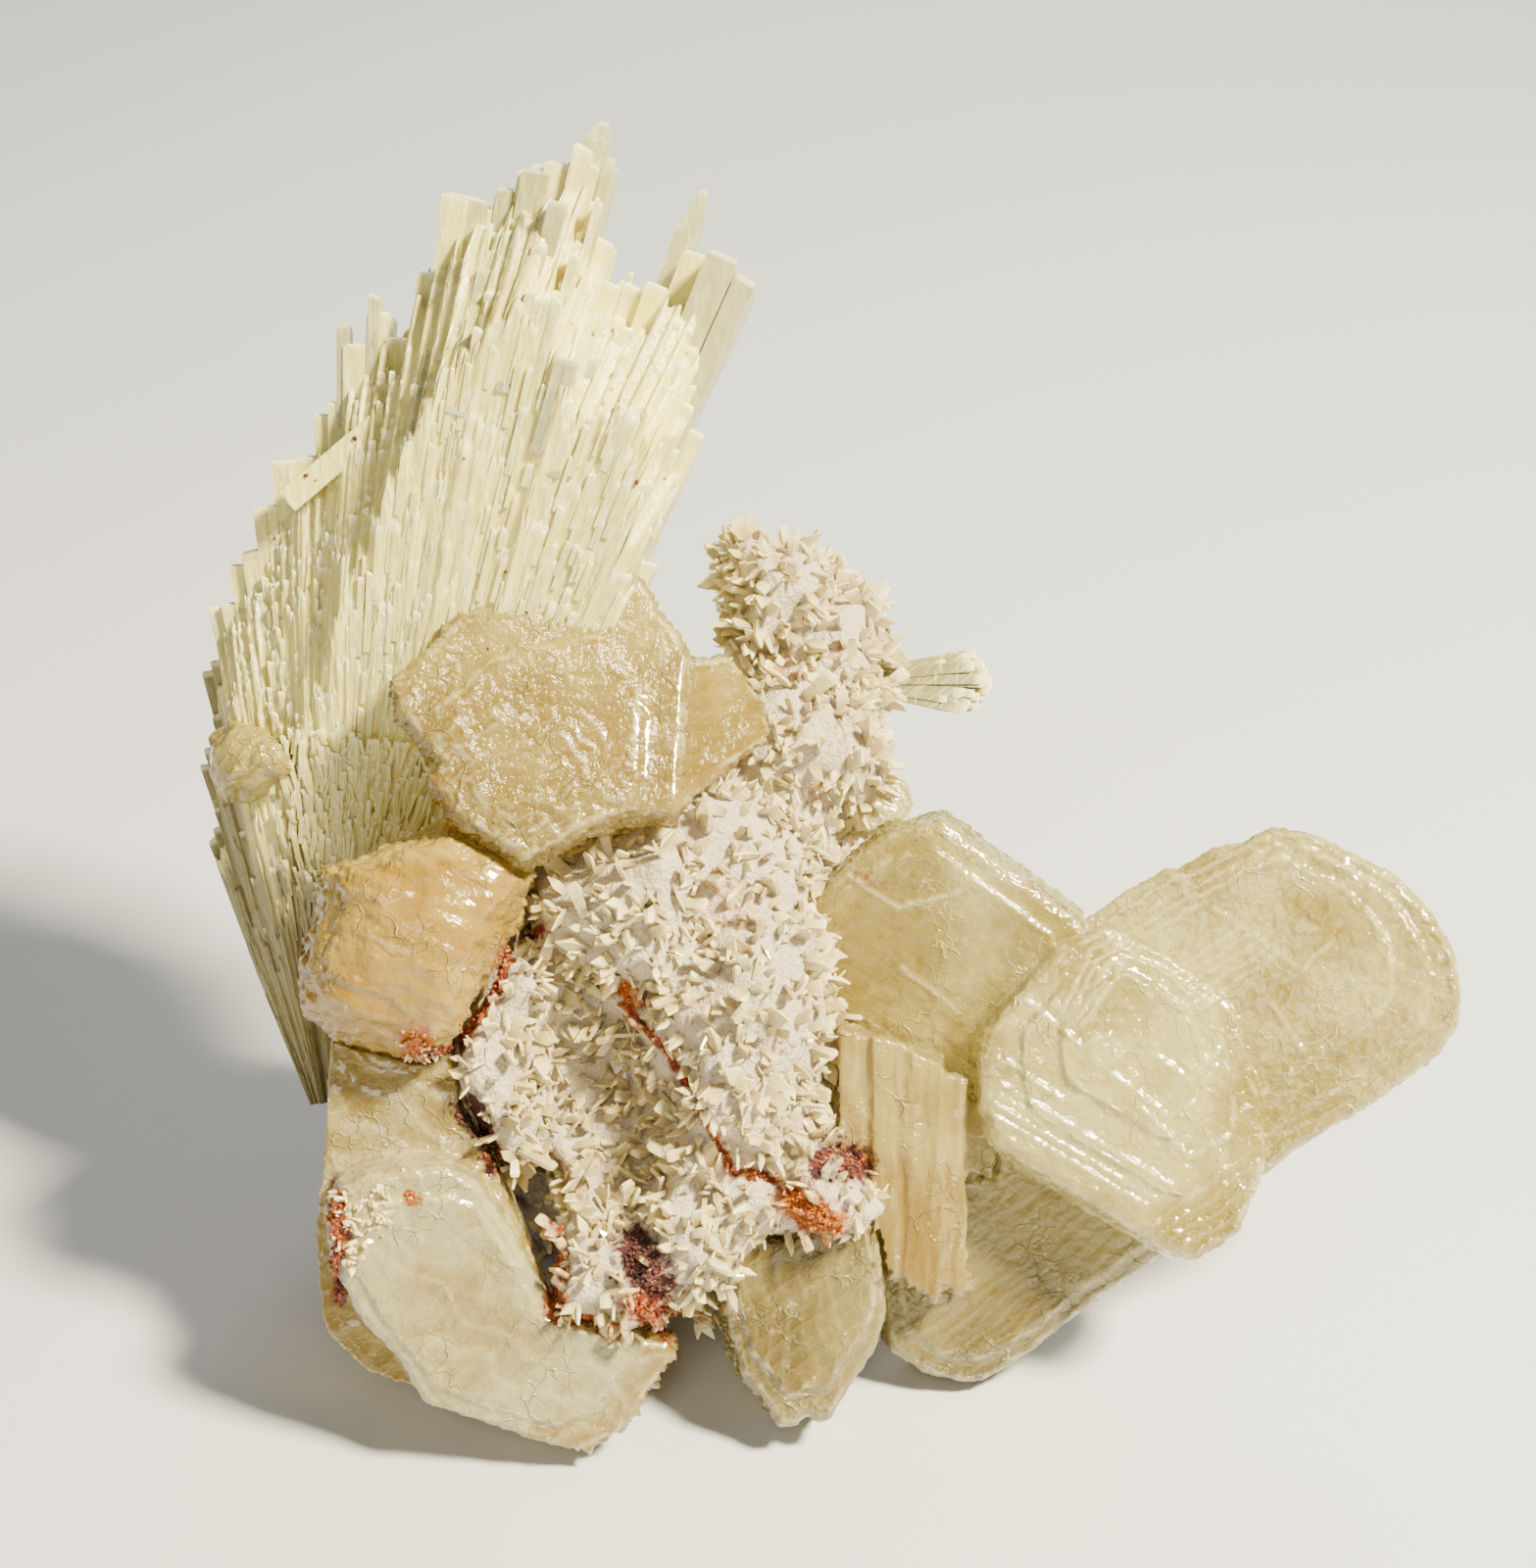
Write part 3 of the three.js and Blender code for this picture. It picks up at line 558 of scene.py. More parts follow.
bump(tree, shader, cloud["Fine"], 0.8, 0.0004)
print("materials:", [m.name for m in bpy.data.materials])

# %% [markdown]
# ## Rust on the specimen
# Rust sits in a few patches and threads. Each is a point or a short path on the display face
# with a radius and a depth, where 0 is thin and orange and 1 is thick and maroon. Every crystal
# asks how near it is to them, and keeps the answer as two numbers in its mesh. A blush is a
# faint, thin patch of rust on the crust.

# %% Rust patches
RUST = [
    {"path": [(-22.6, -17.2), (-22.4, -16.2)], "radius": 1.3, "depth": 0.05},
    {"path": [(-22.4, -17.2), (-20.2, -17.2)], "radius": 0.6, "depth": 0.6},
    {"path": [(-20.2, -17), (-17.6, -13.4), (-17.2, -10.8), (-15, -9.6)], "radius": 0.45,
     "depth": 0.4},
    {"path": [(-19.6, -21.2), (-18.8, -22.6)], "radius": 1.2, "depth": 0.95},
    {"path": [(-18.4, -23.4), (-17.8, -25.2)], "radius": 0.7, "depth": 0.7},
    {"path": [(-9.6, -14.6), (-7, -17.2), (-5.2, -19.8), (-3.7, -22.4), (-2.3, -25.2),
              (0.6, -25.8)], "radius": 0.36, "depth": 0.45},
    {"path": [(-9.4, -13.4), (-8.8, -14.2)], "radius": 0.8, "depth": 0.0},
    {"path": [(-8.6, -30), (-7.2, -32.6)], "radius": 1.7, "depth": 1.0},
    {"path": [(-13.8, -30), (-13.6, -34.4)], "radius": 0.9, "depth": 0.4},
    {"path": [(-8.4, -33.6), (-6.4, -35.4)], "radius": 1.4, "depth": 0.5},
    {"path": [(-13, -34.4), (-9.8, -35.6)], "radius": 0.6, "depth": 0.15},
    {"path": [(3.4, -24.6), (6, -25)], "radius": 1.2, "depth": 0.8},
    {"path": [(1.8, -27), (4, -28.4)], "radius": 1.5, "depth": 0.1},
    {"path": [(-27.6, -26.6), (-27.4, -29)], "radius": 1.0, "depth": 0.4},
    {"path": [(-27.4, -29), (-28, -33.6)], "radius": 0.6, "depth": 0.6},
    {"path": [(-23, -26.4), (-22.6, -26.6)], "radius": 0.5, "depth": 0.0},
]
BLUSH = [(4.2, 12.8), (1.4, 14.6), (1.2, 7.6), (5, 3.8), (3, -0.8), (-3.2, -6.6), (-9.4, -14.6),
         (4.8, 9.4), (-2, -9), (-4.6, -14), (0.6, -17.4), (-14.2, -25.8), (6.6, -6.6)]
BLUSH_RADIUS, BLUSH_AMOUNT, BLUSH_DEPTH = 1.6, 0.42, 0.12
RUST_STOPS = 9  # how far into the specimen rust is looked for

print("rust patches:", len(RUST), "blushes:", len(BLUSH))


# %% Rust at a point
def off_path(x, z, path):
    """How far a point is from a path of straight stretches."""
    nearest = 1e9
    for start, end in zip(path, path[1:]):
        along = Vector(end) - Vector(start)
        share = clamp((Vector((x, z)) - Vector(start)).dot(along) / along.length_squared)
        nearest = min(nearest, (Vector((x, z)) - Vector(start) - along * share).length)
    return nearest


def rust_at(point, reach=1.0):
    """(amount, depth) of rust at a point. It is on the display side alone."""
    if point.y > RUST_STOPS:
        return 0.0, 0.0
    amount, depth = 0.0, 0.0
    for patch in RUST:
        here = clamp(1.35 - off_path(point.x, point.z, patch["path"]) / (patch["radius"] * reach))
        if here > amount:
            amount, depth = here, patch["depth"]
    for x, z in BLUSH:
        away = math.hypot(point.x - x, point.z - z)
        faint = BLUSH_AMOUNT * clamp(1.2 - away / BLUSH_RADIUS)
        if faint > amount:
            amount, depth = faint, BLUSH_DEPTH
    return min(amount, 1.0), depth


print("rust in the middle of the dark pocket:", rust_at(Vector((-7.8, 2, -31.4))))

# %% [markdown]
# ## From face to frame
# Each piece is shaped as a bmesh in face millimetres. One function finishes them all: it takes
# the mesh into the frame, gives it its finish, lets it ride on the specimen's one body and
# hides the solid that it stands for. The surface is also kept as a search tree, so that later
# pieces, such as crumbs of rust, can be dropped onto it from the front.

# %% Piece helpers
skins = {}


def keep_mesh(name, bm):
    mesh = bpy.data.meshes.new(name)
    bm.to_mesh(mesh)
    bm.free()
    return mesh


def put(name, data):
    """An object for a mesh, a lamp or a camera, linked into the scene."""
    made = bpy.data.objects.new(name, data)
    bpy.context.scene.collection.objects.link(made)
    return made


def stand(name, bm, finish_of, nodes=(), smooth=True, keep_skin=True):
    """The finished object at the origin, with its place in its mesh."""
    for face in bm.faces:
        face.smooth = smooth
    if keep_skin:
        skins[name] = BVHTree.FromBMesh(bm)
    bmesh.ops.transform(bm, matrix=FACE, verts=bm.verts)
    for v in bm.verts:
        v.co.z = max(v.co.z, 0.0)
    mesh = keep_mesh(name, bm)
    mesh.materials.append(finish_of)
    piece = put(name, mesh)
    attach(piece, "root")
    if nodes:
        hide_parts(*nodes)
    mesh.calc_loop_triangles()
    print(name, len(mesh.loop_triangles), "triangles")


# %% Copies of the solids
def solid_copy(node):
    """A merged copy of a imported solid, back on the display face."""
    bm = bmesh.new()
    bm.from_mesh(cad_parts[node].data)
    bmesh.ops.remove_doubles(bm, verts=bm.verts, dist=1e-6)
    bmesh.ops.transform(bm, matrix=OFF_FACE, verts=bm.verts)
    return bm


def dense(bm, voxel):
    """The same form as one skin of small even faces, ready to be sculpted."""
    rough = keep_mesh("rough_form", bm)
    holder = put("rough_form", rough)
    even = holder.modifiers.new("even_faces", "REMESH")
    even.mode = "VOXEL"
    even.voxel_size = voxel
    view_layer = bpy.context.evaluated_depsgraph_get()
    skin = bpy.data.meshes.new_from_object(holder.evaluated_get(view_layer))
    bpy.data.objects.remove(holder)
    made = bmesh.new()
    made.from_mesh(skin)
    bpy.data.meshes.remove(skin)
    bpy.data.meshes.remove(rough)
    return made


def soften(bm, times):
    for _ in range(times):
        bmesh.ops.smooth_vert(
            bm, verts=bm.verts, factor=0.5, use_axis_x=True, use_axis_y=True, use_axis_z=True)


print("piece helpers are ready")

# %% [markdown]
# A finish can only know what the mesh tells it. So every piece keeps numbers with its points:
# how rusty a point is, how milky, how far below the tip of its needle. They are float layers in
# the bmesh, become attributes of the mesh, and are read there by name.

# %% Numbers kept with the points
def number_layers(bm, *names):
    return {name: bm.verts.layers.float.new(name) for name in names}


def note(bm, name, value):
    """Keeps one number with each point, worked out from its place."""
    layer = bm.verts.layers.float.new(name)
    for v in bm.verts:
        v[layer] = value(v.co)


def note_rust(bm, reach=1.0):
    found = [rust_at(v.co, reach) for v in bm.verts]
    kept = number_layers(bm, "stain", "rust")
    for v, (amount, depth) in zip(bm.verts, found):
        v[kept["stain"]] = amount
        v[kept["rust"]] = depth


def sculpt(bm, relief):
    """Moves each point along its own normal, by the height in millimetres that relief gives,
    and keeps how sharply a growth step ends there, where the finish paints a bright line as a
    painted highlight."""
    bm.normal_update()
    found = [relief(v.co, v.normal) for v in bm.verts]
    steps = bm.verts.layers.float.new("step")
    for v, (height, step) in zip(bm.verts, found):
        v[steps] = step
        v.co += v.normal * height


def stamp(bm, pattern):
    """A copy of a small mesh put into a big one. Gives the points of the copy."""
    bm.from_mesh(pattern)
    bm.verts.ensure_lookup_table()
    return bm.verts[-len(pattern.vertices):]


print("numbers can be kept with the points")

# %% [markdown]
# ## The rock
# The rock is the ground on which the druse stands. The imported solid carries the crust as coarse
# spikes. Its copy is turned into a dense skin and smoothed until the spikes are low humps, and
# then roughened again at the scale of gravel. The fine crystals of the next step give the
# spikes back, in their real number.

# %% Rock under the druse
ROCK_VOXEL = 0.5
rock = dense(solid_copy("matrix_ridge"), ROCK_VOXEL)
soften(rock, 7)


def gravel(point, normal):
    low = noise.noise(point * 0.45) * 0.35
    return low + noise.noise(point * 1.6) * 0.16, 0


sculpt(rock, gravel)
note_rust(rock)
# The pale foot of the crust covers the rock at the front and thins out towards the back
note(rock, "cover", lambda p: smooth_step(p.y, 15, 8))
rock.faces.ensure_lookup_table()
rock_faces = [(f.calc_area(), f.calc_center_median(), f.normal.copy()) for f in rock.faces]
print("rock surface:", round(sum(area for area, _, _ in rock_faces)), "square mm")
stand("rock_under_druse", rock, rock_face, ["matrix_ridge"])

# %% [markdown]
# ## The druse
# Thousands of blades a millimetre or two long cover the rock. Two patterns are enough: a spear
# with a gabled tip and a flat lath. Each pattern is one small mesh, and each crystal is a copy
# of it, stretched, rolled about its own length, tilted away from the surface and sunk a little
# into the rock. The crystals are the same each time because the dice are seeded.


# %% Crystal patterns
ONE_ORDER = Vector((1, 10, 100))


def blade_pattern(name, shoulder, tip):
    """A blade one unit long: a box that widens to its shoulder and narrows to a gabled tip."""
    bm = bmesh.new()
    bmesh.ops.create_cube(bm, size=1, matrix=Matrix.Translation((0, 0, 0.5)))
    top = max(bm.faces, key=lambda f: f.calc_center_median().z)
    grown = bmesh.ops.extrude_face_region(bm, geom=[top])["geom"]
    tips = [v for v in grown if isinstance(v, bmesh.types.BMVert)]
    bmesh.ops.delete(bm, geom=[top], context="FACES_ONLY")
    bmesh.ops.translate(bm, vec=(0, 0, 1 - shoulder), verts=tips)
    for v in bm.verts:
        if v in tips:
            v.co.x *= tip
            v.co.y *= 0.5
        elif v.co.z > 0.5:
            v.co.z = shoulder
        else:
            v.co.x *= 0.7
    for v in tips:
        v.co.z = 1
    # Extruding can leave points and faces in another order from run to run, so they are sorted
    bm.verts.sort(key=lambda v: v.co.dot(ONE_ORDER))
    bm.faces.sort(key=lambda f: f.calc_center_median().dot(ONE_ORDER))
    return keep_mesh(name, bm)


spear = blade_pattern("spear", 0.55, 0.06)
lath = blade_pattern("lath", 0.88, 0.75)
print("a spear has", len(spear.polygons), "faces")


# %% Solids that the druse grows up against
def everything_but(node):
    bm = bmesh.new()
    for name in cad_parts:
        if name != node:
            bm.from_mesh(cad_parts[name].data)
    bmesh.ops.transform(bm, matrix=OFF_FACE, verts=bm.verts)
    tree = BVHTree.FromBMesh(bm)
    bm.free()
    return tree


blades_and_fan = everything_but("matrix_ridge")
print("solids to grow up against:", len(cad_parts) - 1)

# %% The hollow of the crust, and a way to aim
POCKET = {"middle": Vector((-11.4, -6.2, -20.6)), "radii": Vector((6.2, 9, 9.8))}


def in_pocket(point):
    """Above 1 inside the shaded hollow of the crust, where the crystals are larger, and greyer and
    darker: partly their own colour, partly painted shade.
    """
    away = point - POCKET["middle"]
    return 2 - Vector([a / r for a, r in zip(away, POCKET["radii"])]).length


def aim(direction, roll):
    """A turn that takes a pattern's length to a direction, after a roll about that length."""
    return direction.to_track_quat("Z", "Y").to_matrix().to_4x4() @ Matrix.Rotation(roll, 4, "Z")


print("in the middle of the hollow:", in_pocket(POCKET["middle"]))

# %% Grow the druse
DRUSE_COUNT = 5600
DRUSE_LENGTH = (0.8, 1.9)
TILT = 0.7
BACK_STARTS, BACK_SHARE = 11, 0.3  # behind this place the druse is down to this share
ABOVE_FLOOR = 0.2 * MILLIMETRE
rolls = random.Random(4)
druse = bmesh.new()
layers = number_layers(druse, "tone", "sunk", "stain", "rust")
weights = [
    area * (1.0 if centre.y < BACK_STARTS else BACK_SHARE) for area, centre, _ in rock_faces]
grown = 0
for area, centre, normal in rolls.choices(rock_faces, weights, k=DRUSE_COUNT):
    pocket = clamp(in_pocket(centre) - 0.9, 0, 1)
    amount, depth = rust_at(centre)
    length = rolls.uniform(*DRUSE_LENGTH) + 0.9 * rolls.random() ** 8
    length *= lerp(1, 1.2, pocket)
    width = length * rolls.uniform(0.3, 0.58)
    thick = width * rolls.uniform(0.24, 0.45)
    wander = Vector([rolls.gauss(0, 1) for _ in range(3)]) * TILT
    direction = (normal + wander).normalized()
    start = centre + Vector([rolls.uniform(-0.25, 0.25) for _ in range(3)]) - direction * 0.2
    pattern = spear if rolls.random() < lerp(0.7, 0.3, pocket) else lath
    roll, tone = rolls.uniform(0, math.tau), rolls.random() ** 1.6
    # A crystal that would run into a neighbour or the floor isn't grown, and few grow on rust
    if blades_and_fan.ray_cast(start, direction, length + 0.25)[0] is not None:
        continue
    tip_height = (FACE @ (start + direction * length)).z
    if tip_height < ABOVE_FLOOR or rolls.random() < amount * 0.75:
        continue
    shape = Matrix.Translation(start) @ aim(direction, roll) @ Matrix.Diagonal(
        (width, thick, length, 1))
    for v in stamp(druse, pattern):
        # Painted shade: darker at each crystal's foot and in the hollow, where the tone is also
        # raised
        v[layers["sunk"]] = max(1 - clamp(v.co.z * 1.5), 0.75 * pocket)
        v[layers["tone"]] = clamp(tone + 0.75 * pocket)
        v[layers["stain"]] = amount * rolls.uniform(0.5, 1.0)
        v[layers["rust"]] = depth
        v.co = shape @ v.co
    grown += 1
print("druse crystals:", grown)
stand("druse_crystals", druse, druse_crust, smooth=False, keep_skin=False)

# %% [markdown]
# ## The scolecite fan
# The fan is one solid mass of prisms grown side by side, all pointing away from one root. It is
# modelled in the fan's own space, where a needle is an upright box: its sides are angles around
# the root, and its height is the distance from the root. Bending that space puts every needle
# in place at once and keeps neighbours side by side all the way down.

# %% Heads of the fan
# Each head of the solid: the angle at which it starts, and how far it reaches from the root
FAN_HEADS = [(-20, 25), (-17, 30), (-13, 36), (-10.4, 40), (-7.6, 42.5), (-4.6, 46), (-2.8, 49),
             (0.6, 52), (2.8, 56.5), (4.2, 58.7), (5.6, 57.2), (7.2, 61.6), (8.3, 66.4),
             (11.1, 67), (12.2, 69), (14.9, 73), (17, 66), (18.2, 63.6), (22, 67.4), (23.6, 67),
             (25.2, 64.4), (26.4, 57), (27.6, 48)]
FAN_END = 28.8
FAN_ROOT = 5
FAN_FRONT = -12
FAN_BACK = 10
FLANK = {"angle": -10, "slope": 1.15}
CREST = 5  # how many of the shares below lead up to the crest
# Height of the layers from front to back, as a share of the head: (place, left side, right side)
LAYER_SHARES = [(0, 0.6, 0.84), (0.12, 0.7, 0.88), (0.24, 0.84, 0.94), (0.36, 0.94, 0.98),
                (0.46, 1, 1), (0.6, 0.98, 0.97), (0.7, 0.92, 0.91), (0.85, 0.82, 0.83),
                (1, 0.76, 0.77)]
print("heads:", len(FAN_HEADS), "tallest:", max(height for _, height in FAN_HEADS), "mm")


# %% Fan space
def fan_point(across, inward, reach):
    """A place in the fan: two angles in degrees, and the distance from the root."""
    a, b = math.radians(across), math.radians(inward)
    way = Vector((math.tan(a), math.tan(b) + FAN_LEAN, 1))
    return FAN_POINT + way * (reach * math.cos(a))


def head_reach(across):
    reach = FAN_HEADS[0][1]
    for start, height in FAN_HEADS:
        if across >= start:
            reach = height
    return reach


def layer_share(across, place_in):
    """How high the fan is at a place from its front, 0, to its back, 1."""
    side = smooth_step(across, -4, 15)
    for (low, *from_share), (high, *to_share) in zip(LAYER_SHARES, LAYER_SHARES[1:]):
        if place_in <= high:
            step = (place_in - low) / (high - low)
            return lerp(lerp(*from_share, side), lerp(*to_share, side), step)
    return lerp(*LAYER_SHARES[-1][1:], side)


def inward_at(across, place_in):
    front = FAN_FRONT + max(0, (FLANK["angle"] - across) * FLANK["slope"])
    return lerp(front, FAN_BACK, place_in)


def rising_shares(across):
    """(place, share of the height) from the front of the fan back to its crest."""
    side = smooth_step(across, -4, 15)
    return [(place_in, lerp(left, right, side)) for place_in, left, right in LAYER_SHARES[:CREST]]


def front_of(shares, share):
    """The place at which the fan's front has risen to a share of its height."""
    for (low, from_share), (high, to_share) in zip(shares, shares[1:]):
        if share <= to_share:
            return lerp(low, high, clamp((share - from_share) / (to_share - from_share)))
    return shares[-1][0]


print("the root of the fan lies at", FAN_POINT)


# %% Needle patterns
def needle_pattern(name, inset):
    """A square prism with its four tip edges cut off. Its tip is from 1 to 2 on its length."""
    bm = bmesh.new()
    bmesh.ops.create_cube(bm, size=1, matrix=Matrix.Translation((0, 0, 0.5)))
    top = max(bm.faces, key=lambda f: f.calc_center_median().z)
    bmesh.ops.inset_region(bm, faces=[top], thickness=inset, depth=0, use_even_offset=True)
    bmesh.ops.translate(bm, vec=(0, 0, 1), verts=top.verts)
    return keep_mesh(name, bm)


blunt = needle_pattern("blunt_needle", 0.12)
pointed = needle_pattern("pointed_needle", 0.34)
print("a needle has", len(blunt.polygons), "faces")

# %% Grow a needle
fan = bmesh.new()
FAN_NOTES = ("tone", "below_tip", "flank")
fan_layers = number_layers(fan, *FAN_NOTES)


def grow_needle(across, inward, reach, tone, tip, slant=0.0, pattern=blunt, sway=0.0, foot=0.0):
    """across, inward and reach are each a pair of limits in fan space. The tip and the slant of
    its end are in millimetres, the sway of the upper end is in degrees, and foot is how many
    degrees the lower end stands nearer to the viewer."""
    highest = reach[1] + tip
    for v in stamp(fan, pattern):
        u, t, w = v.co
        height = lerp(*reach, min(w, 1)) + tip * max(0, w - 1) + (slant * u if w >= 1 else 0)
        place_in = lerp(*inward, t + 0.5) - foot * (1 - min(w, 1))
        v.co = fan_point(lerp(*across, u + 0.5) + sway * min(w, 1), place_in, height)
        v[fan_layers["tone"]] = tone
        v[fan_layers["below_tip"]] = highest - height
        v[fan_layers["flank"]] = on_flank(across[0], v.co)


def on_flank(across, point):
    """1 on the left flank, which is wider near the root. The finish darkens it with painted shade
    and some real beige.
    """
    low_left = smooth_step(point.z, -3, -7) * smooth_step(point.x, -28.5, -30)
    return max(smooth_step(across, -10, -12.5), low_left)


def degrees_of(width, reach):
    return math.degrees(width / reach)


print("one millimetre at the top of the fan:", round(degrees_of(1, 70), 2), "degrees")

# %% [markdown]
# The mass is filled layer by layer from front to back, and across each head from left to right.
# Needles end in bundles: those that grew side by side stop at nearly the same height, and the
# next bundle stops a millimetre or two lower or higher. Every head keeps a row of prisms at its
# full height, so that the skyline is that of the solid. Needles in the middle of the mass are
# short, because only their ends are ever seen.

# %% Fill the fan
LAYERS = 9
LAP = 0.06  # how many degrees a needle reaches into its neighbour
TALLEST_HEAD = 73
BUNDLE_WIDTH, NEEDLE_WIDTH = (1.2, 3.4), (0.5, 1.3)
BUNDLE_DROP, NEEDLE_DROP = 0.07, 0.018  # as shares of the height
CROWN_WIDTH = 1.7
CROWN_DROP, TALLEST_DROP = 0.2, 3.6  # clear prisms make the top of the tallest head
rolls = random.Random(9)
ends = [start for start, _ in FAN_HEADS[1:]] + [FAN_END]
for (start, reach), end in zip(FAN_HEADS, ends):
    for layer in range(LAYERS):
        low, high = layer / LAYERS, (layer + 1) / LAYERS
        share = layer_share((start + end) / 2, low if high < 0.46 else high)
        across, bundle_end, drop = start, start, 0
        while across < end - 0.02:
            if across >= bundle_end:
                bundle_end = across + degrees_of(rolls.uniform(*BUNDLE_WIDTH), reach)
                drop = BUNDLE_DROP * rolls.random() ** 1.5
                bundle_tone = rolls.random()
            wide = rolls.uniform(*NEEDLE_WIDTH)
            step = min(degrees_of(wide, reach * share), end - across)
            height = reach * share * (1 - drop - NEEDLE_DROP * rolls.random())
            inward = (inward_at(across, low) + rolls.uniform(-0.08, 0.06),
                      inward_at(across, high) + 0.3)
            tone = clamp(0.7 * bundle_tone + rolls.uniform(-0.2, 0.3))
            # At the back and at both sides the needles are seen down to the root
            seen_below = layer >= LAYERS - 2 or start < -16 or start > 26
            lower_end = FAN_ROOT if seen_below else height * 0.65
            grow_needle((across - LAP, across + step + LAP), inward, (lower_end, height), tone,
                        rolls.uniform(0.08, 0.3), rolls.uniform(-0.35, 0.35))
            across += step
    crown_reach = reach - (TALLEST_DROP if reach == TALLEST_HEAD else CROWN_DROP)
    higher = max(0, head_reach(end + 0.1) - reach)
    parts = math.ceil((end - start) / CROWN_WIDTH)
    for part in range(parts):
        low, high = lerp(start, end, part / parts), lerp(start, end, (part + 1) / parts)
        crown = (inward_at(low, rolls.uniform(0.34, 0.42)),
                 inward_at(low, rolls.uniform(0.5, 0.58)))
        top = crown_reach + 0.5 * higher * part / parts - rolls.uniform(0, 0.7) * (part > 0)
        grow_needle((low - 0.05, high + 0.05), crown, (top * 0.5, top), rolls.uniform(0.1, 0.5),
                    0.2, rolls.uniform(-0.3, 0.3))
print("needles in the mass:", len(fan.verts) // len(blunt.vertices))

# %% [markdown]
# The front of the real fan isn't a staircase: its needles are fused side by side into one silky
# slope, and each ends on it with a low ledge. The slope is a grid over angle and reach. Streaks
# that depend on the angle alone are the sides of the needles, and in every bundle the surface
# creeps forward and drops back at a height of its own, which makes the ledges.

# %% Streaks and ledges
COLUMNS, ROWS = 330, 165
BUNDLES = [
    # width in degrees, length between ledges in mm, height of a ledge in mm
    (1.5, 11.0, 0.2),
    (0.6, 6.0, 0.1),
]
STREAKS = [
    # width in degrees, how fast they change along the needle, height in mm
    (2.2, 0.015, 0.6),
    (0.7, 0.03, 0.12),
    (0.28, 0.06, 0.05),
]
rolls = random.Random(12)
chance = [rolls.random() for _ in range(997)]


def even_reach(across):
    """The reach evened out over neighbouring heads, so that the slope runs on across them."""
    return sum(head_reach(across + aside) for aside in (-2, -1, 0, 1, 2)) / 5


def streaks(across, reach):
    """Sides of fused needles, in millimetres towards the viewer."""
    found = 0.0
    for wide, run, height in STREAKS:
        found += height * noise.noise(Vector((across / wide, reach * run, wide * 7)))
    return found


def ledges(across, reach):
    """(height, sharpness) of the ledges on which the needles of a bundle end."""
    height, sharp = 0.0, 0.0
    for level, (wide, run, most) in enumerate(BUNDLES):
        bundle = math.floor(across / wide + 0.4 * noise.noise(Vector((reach * 0.05, level, 3.0))))
        start = chance[(bundle * 7 + level * 131) % len(chance)]
        length = run * (0.6 + 0.8 * chance[(bundle * 13 + level * 57) % len(chance)])
        along = (reach / length + start) % 1
        height += most * along ** 2
        sharp = max(sharp, smooth_step(along, 0.9, 0.99))
    return height, sharp


print("bundles of fused needles:", len(BUNDLES), "kinds")

# %% Lay the fused front
front = bmesh.new()
bmesh.ops.create_grid(front, x_segments=COLUMNS, y_segments=ROWS, size=1)
front_layers = number_layers(front, "tone", "below_tip", "ledge", "flank")
columns = {}
for v in front.verts:
    across = lerp(FAN_HEADS[0][0], FAN_END, (v.co.x + 1) / 2)
    if across not in columns:
        stop = chance[int(across * 2.2 + 90)] * 0.05 + 0.012
        columns[across] = (rising_shares(across), even_reach(across),
                           head_reach(across) * (1 - stop))
    shares, whole, top = columns[across]
    up = (v.co.y + 1) / 2
    reach = lerp(FAN_ROOT, top, up)
    height, sharp = ledges(across, reach)
    height += streaks(across, reach)
    inward = inward_at(across, front_of(shares, reach / whole)) - degrees_of(height + 0.15, reach)
    if v.is_boundary and up > 0.01:
        inward += 4  # the edge of the sheet dives into the mass
    v.co = fan_point(across, inward, reach)
    broad = noise.noise(Vector((across / 1.5, reach * 0.025, 31.0)))
    narrow = noise.noise(Vector((across / 0.4, reach * 0.05, 41.0)))
    v[front_layers["tone"]] = clamp(0.35 + 1.2 * broad + 0.8 * narrow)
    v[front_layers["below_tip"]] = top - reach + 0.6
    # ledge marks where the finish paints a white highlight on the real ledges
    v[front_layers["ledge"]] = sharp
    v[front_layers["flank"]] = on_flank(across, v.co) * smooth_step(up, 0.97, 0.9)
print("fused front:", len(front.faces), "faces")
bmesh.ops.recalc_face_normals(front, faces=front.faces)
front.faces.ensure_lookup_table()
if front.faces[0].normal.y > 0:
    bmesh.ops.reverse_faces(front, faces=front.faces)
stand("fused_front", front, scolecite_white, ["scolecite_spray"])

# %% [markdown]
# Short prism ends lie on the slope like shingles, and near the root the ends get so fine that
# they look like frost. Both are needles with a short length whose tips stand a little proud of
# the slope. A few hair-thin needles reach up past the heads.

# %% Shingled ends, frost and hairs
SHINGLES = 700
FROST = 900
HAIRS = 26
for _ in range(SHINGLES):
    across = rolls.uniform(-9, 28.2)
    share = rolls.uniform(0.45, 0.95)
    reach = even_reach(across) * share
    if reach > head_reach(across) * 0.96:
        continue
    face = inward_at(across, front_of(rising_shares(across), share))
    proud = degrees_of(rolls.uniform(0.2, 0.42), reach)
    wide = degrees_of(rolls.uniform(0.15, 0.5), reach)
    length = rolls.uniform(1, 5)
    grow_needle((across, across + wide), (face - proud, face + 0.8), (reach - length, reach),
                rolls.random() ** 1.4 * 0.6, rolls.uniform(0.05, 0.2), rolls.uniform(-0.3, 0.3))
for _ in range(FROST):
    across = rolls.triangular(-6, 22, 6)
    reach = rolls.uniform(20, 31)
    face = inward_at(across, 0)
    proud = degrees_of(rolls.uniform(0.5, 0.95), reach)
    wide = degrees_of(rolls.uniform(0.15, 0.4), reach)
    grow_needle((across, across + wide), (face - proud, face + 0.5),
                (reach - rolls.uniform(0.8, 2.4), reach), rolls.random() * 0.2, 0.1, 0, pointed,
                rolls.uniform(-1, 1))
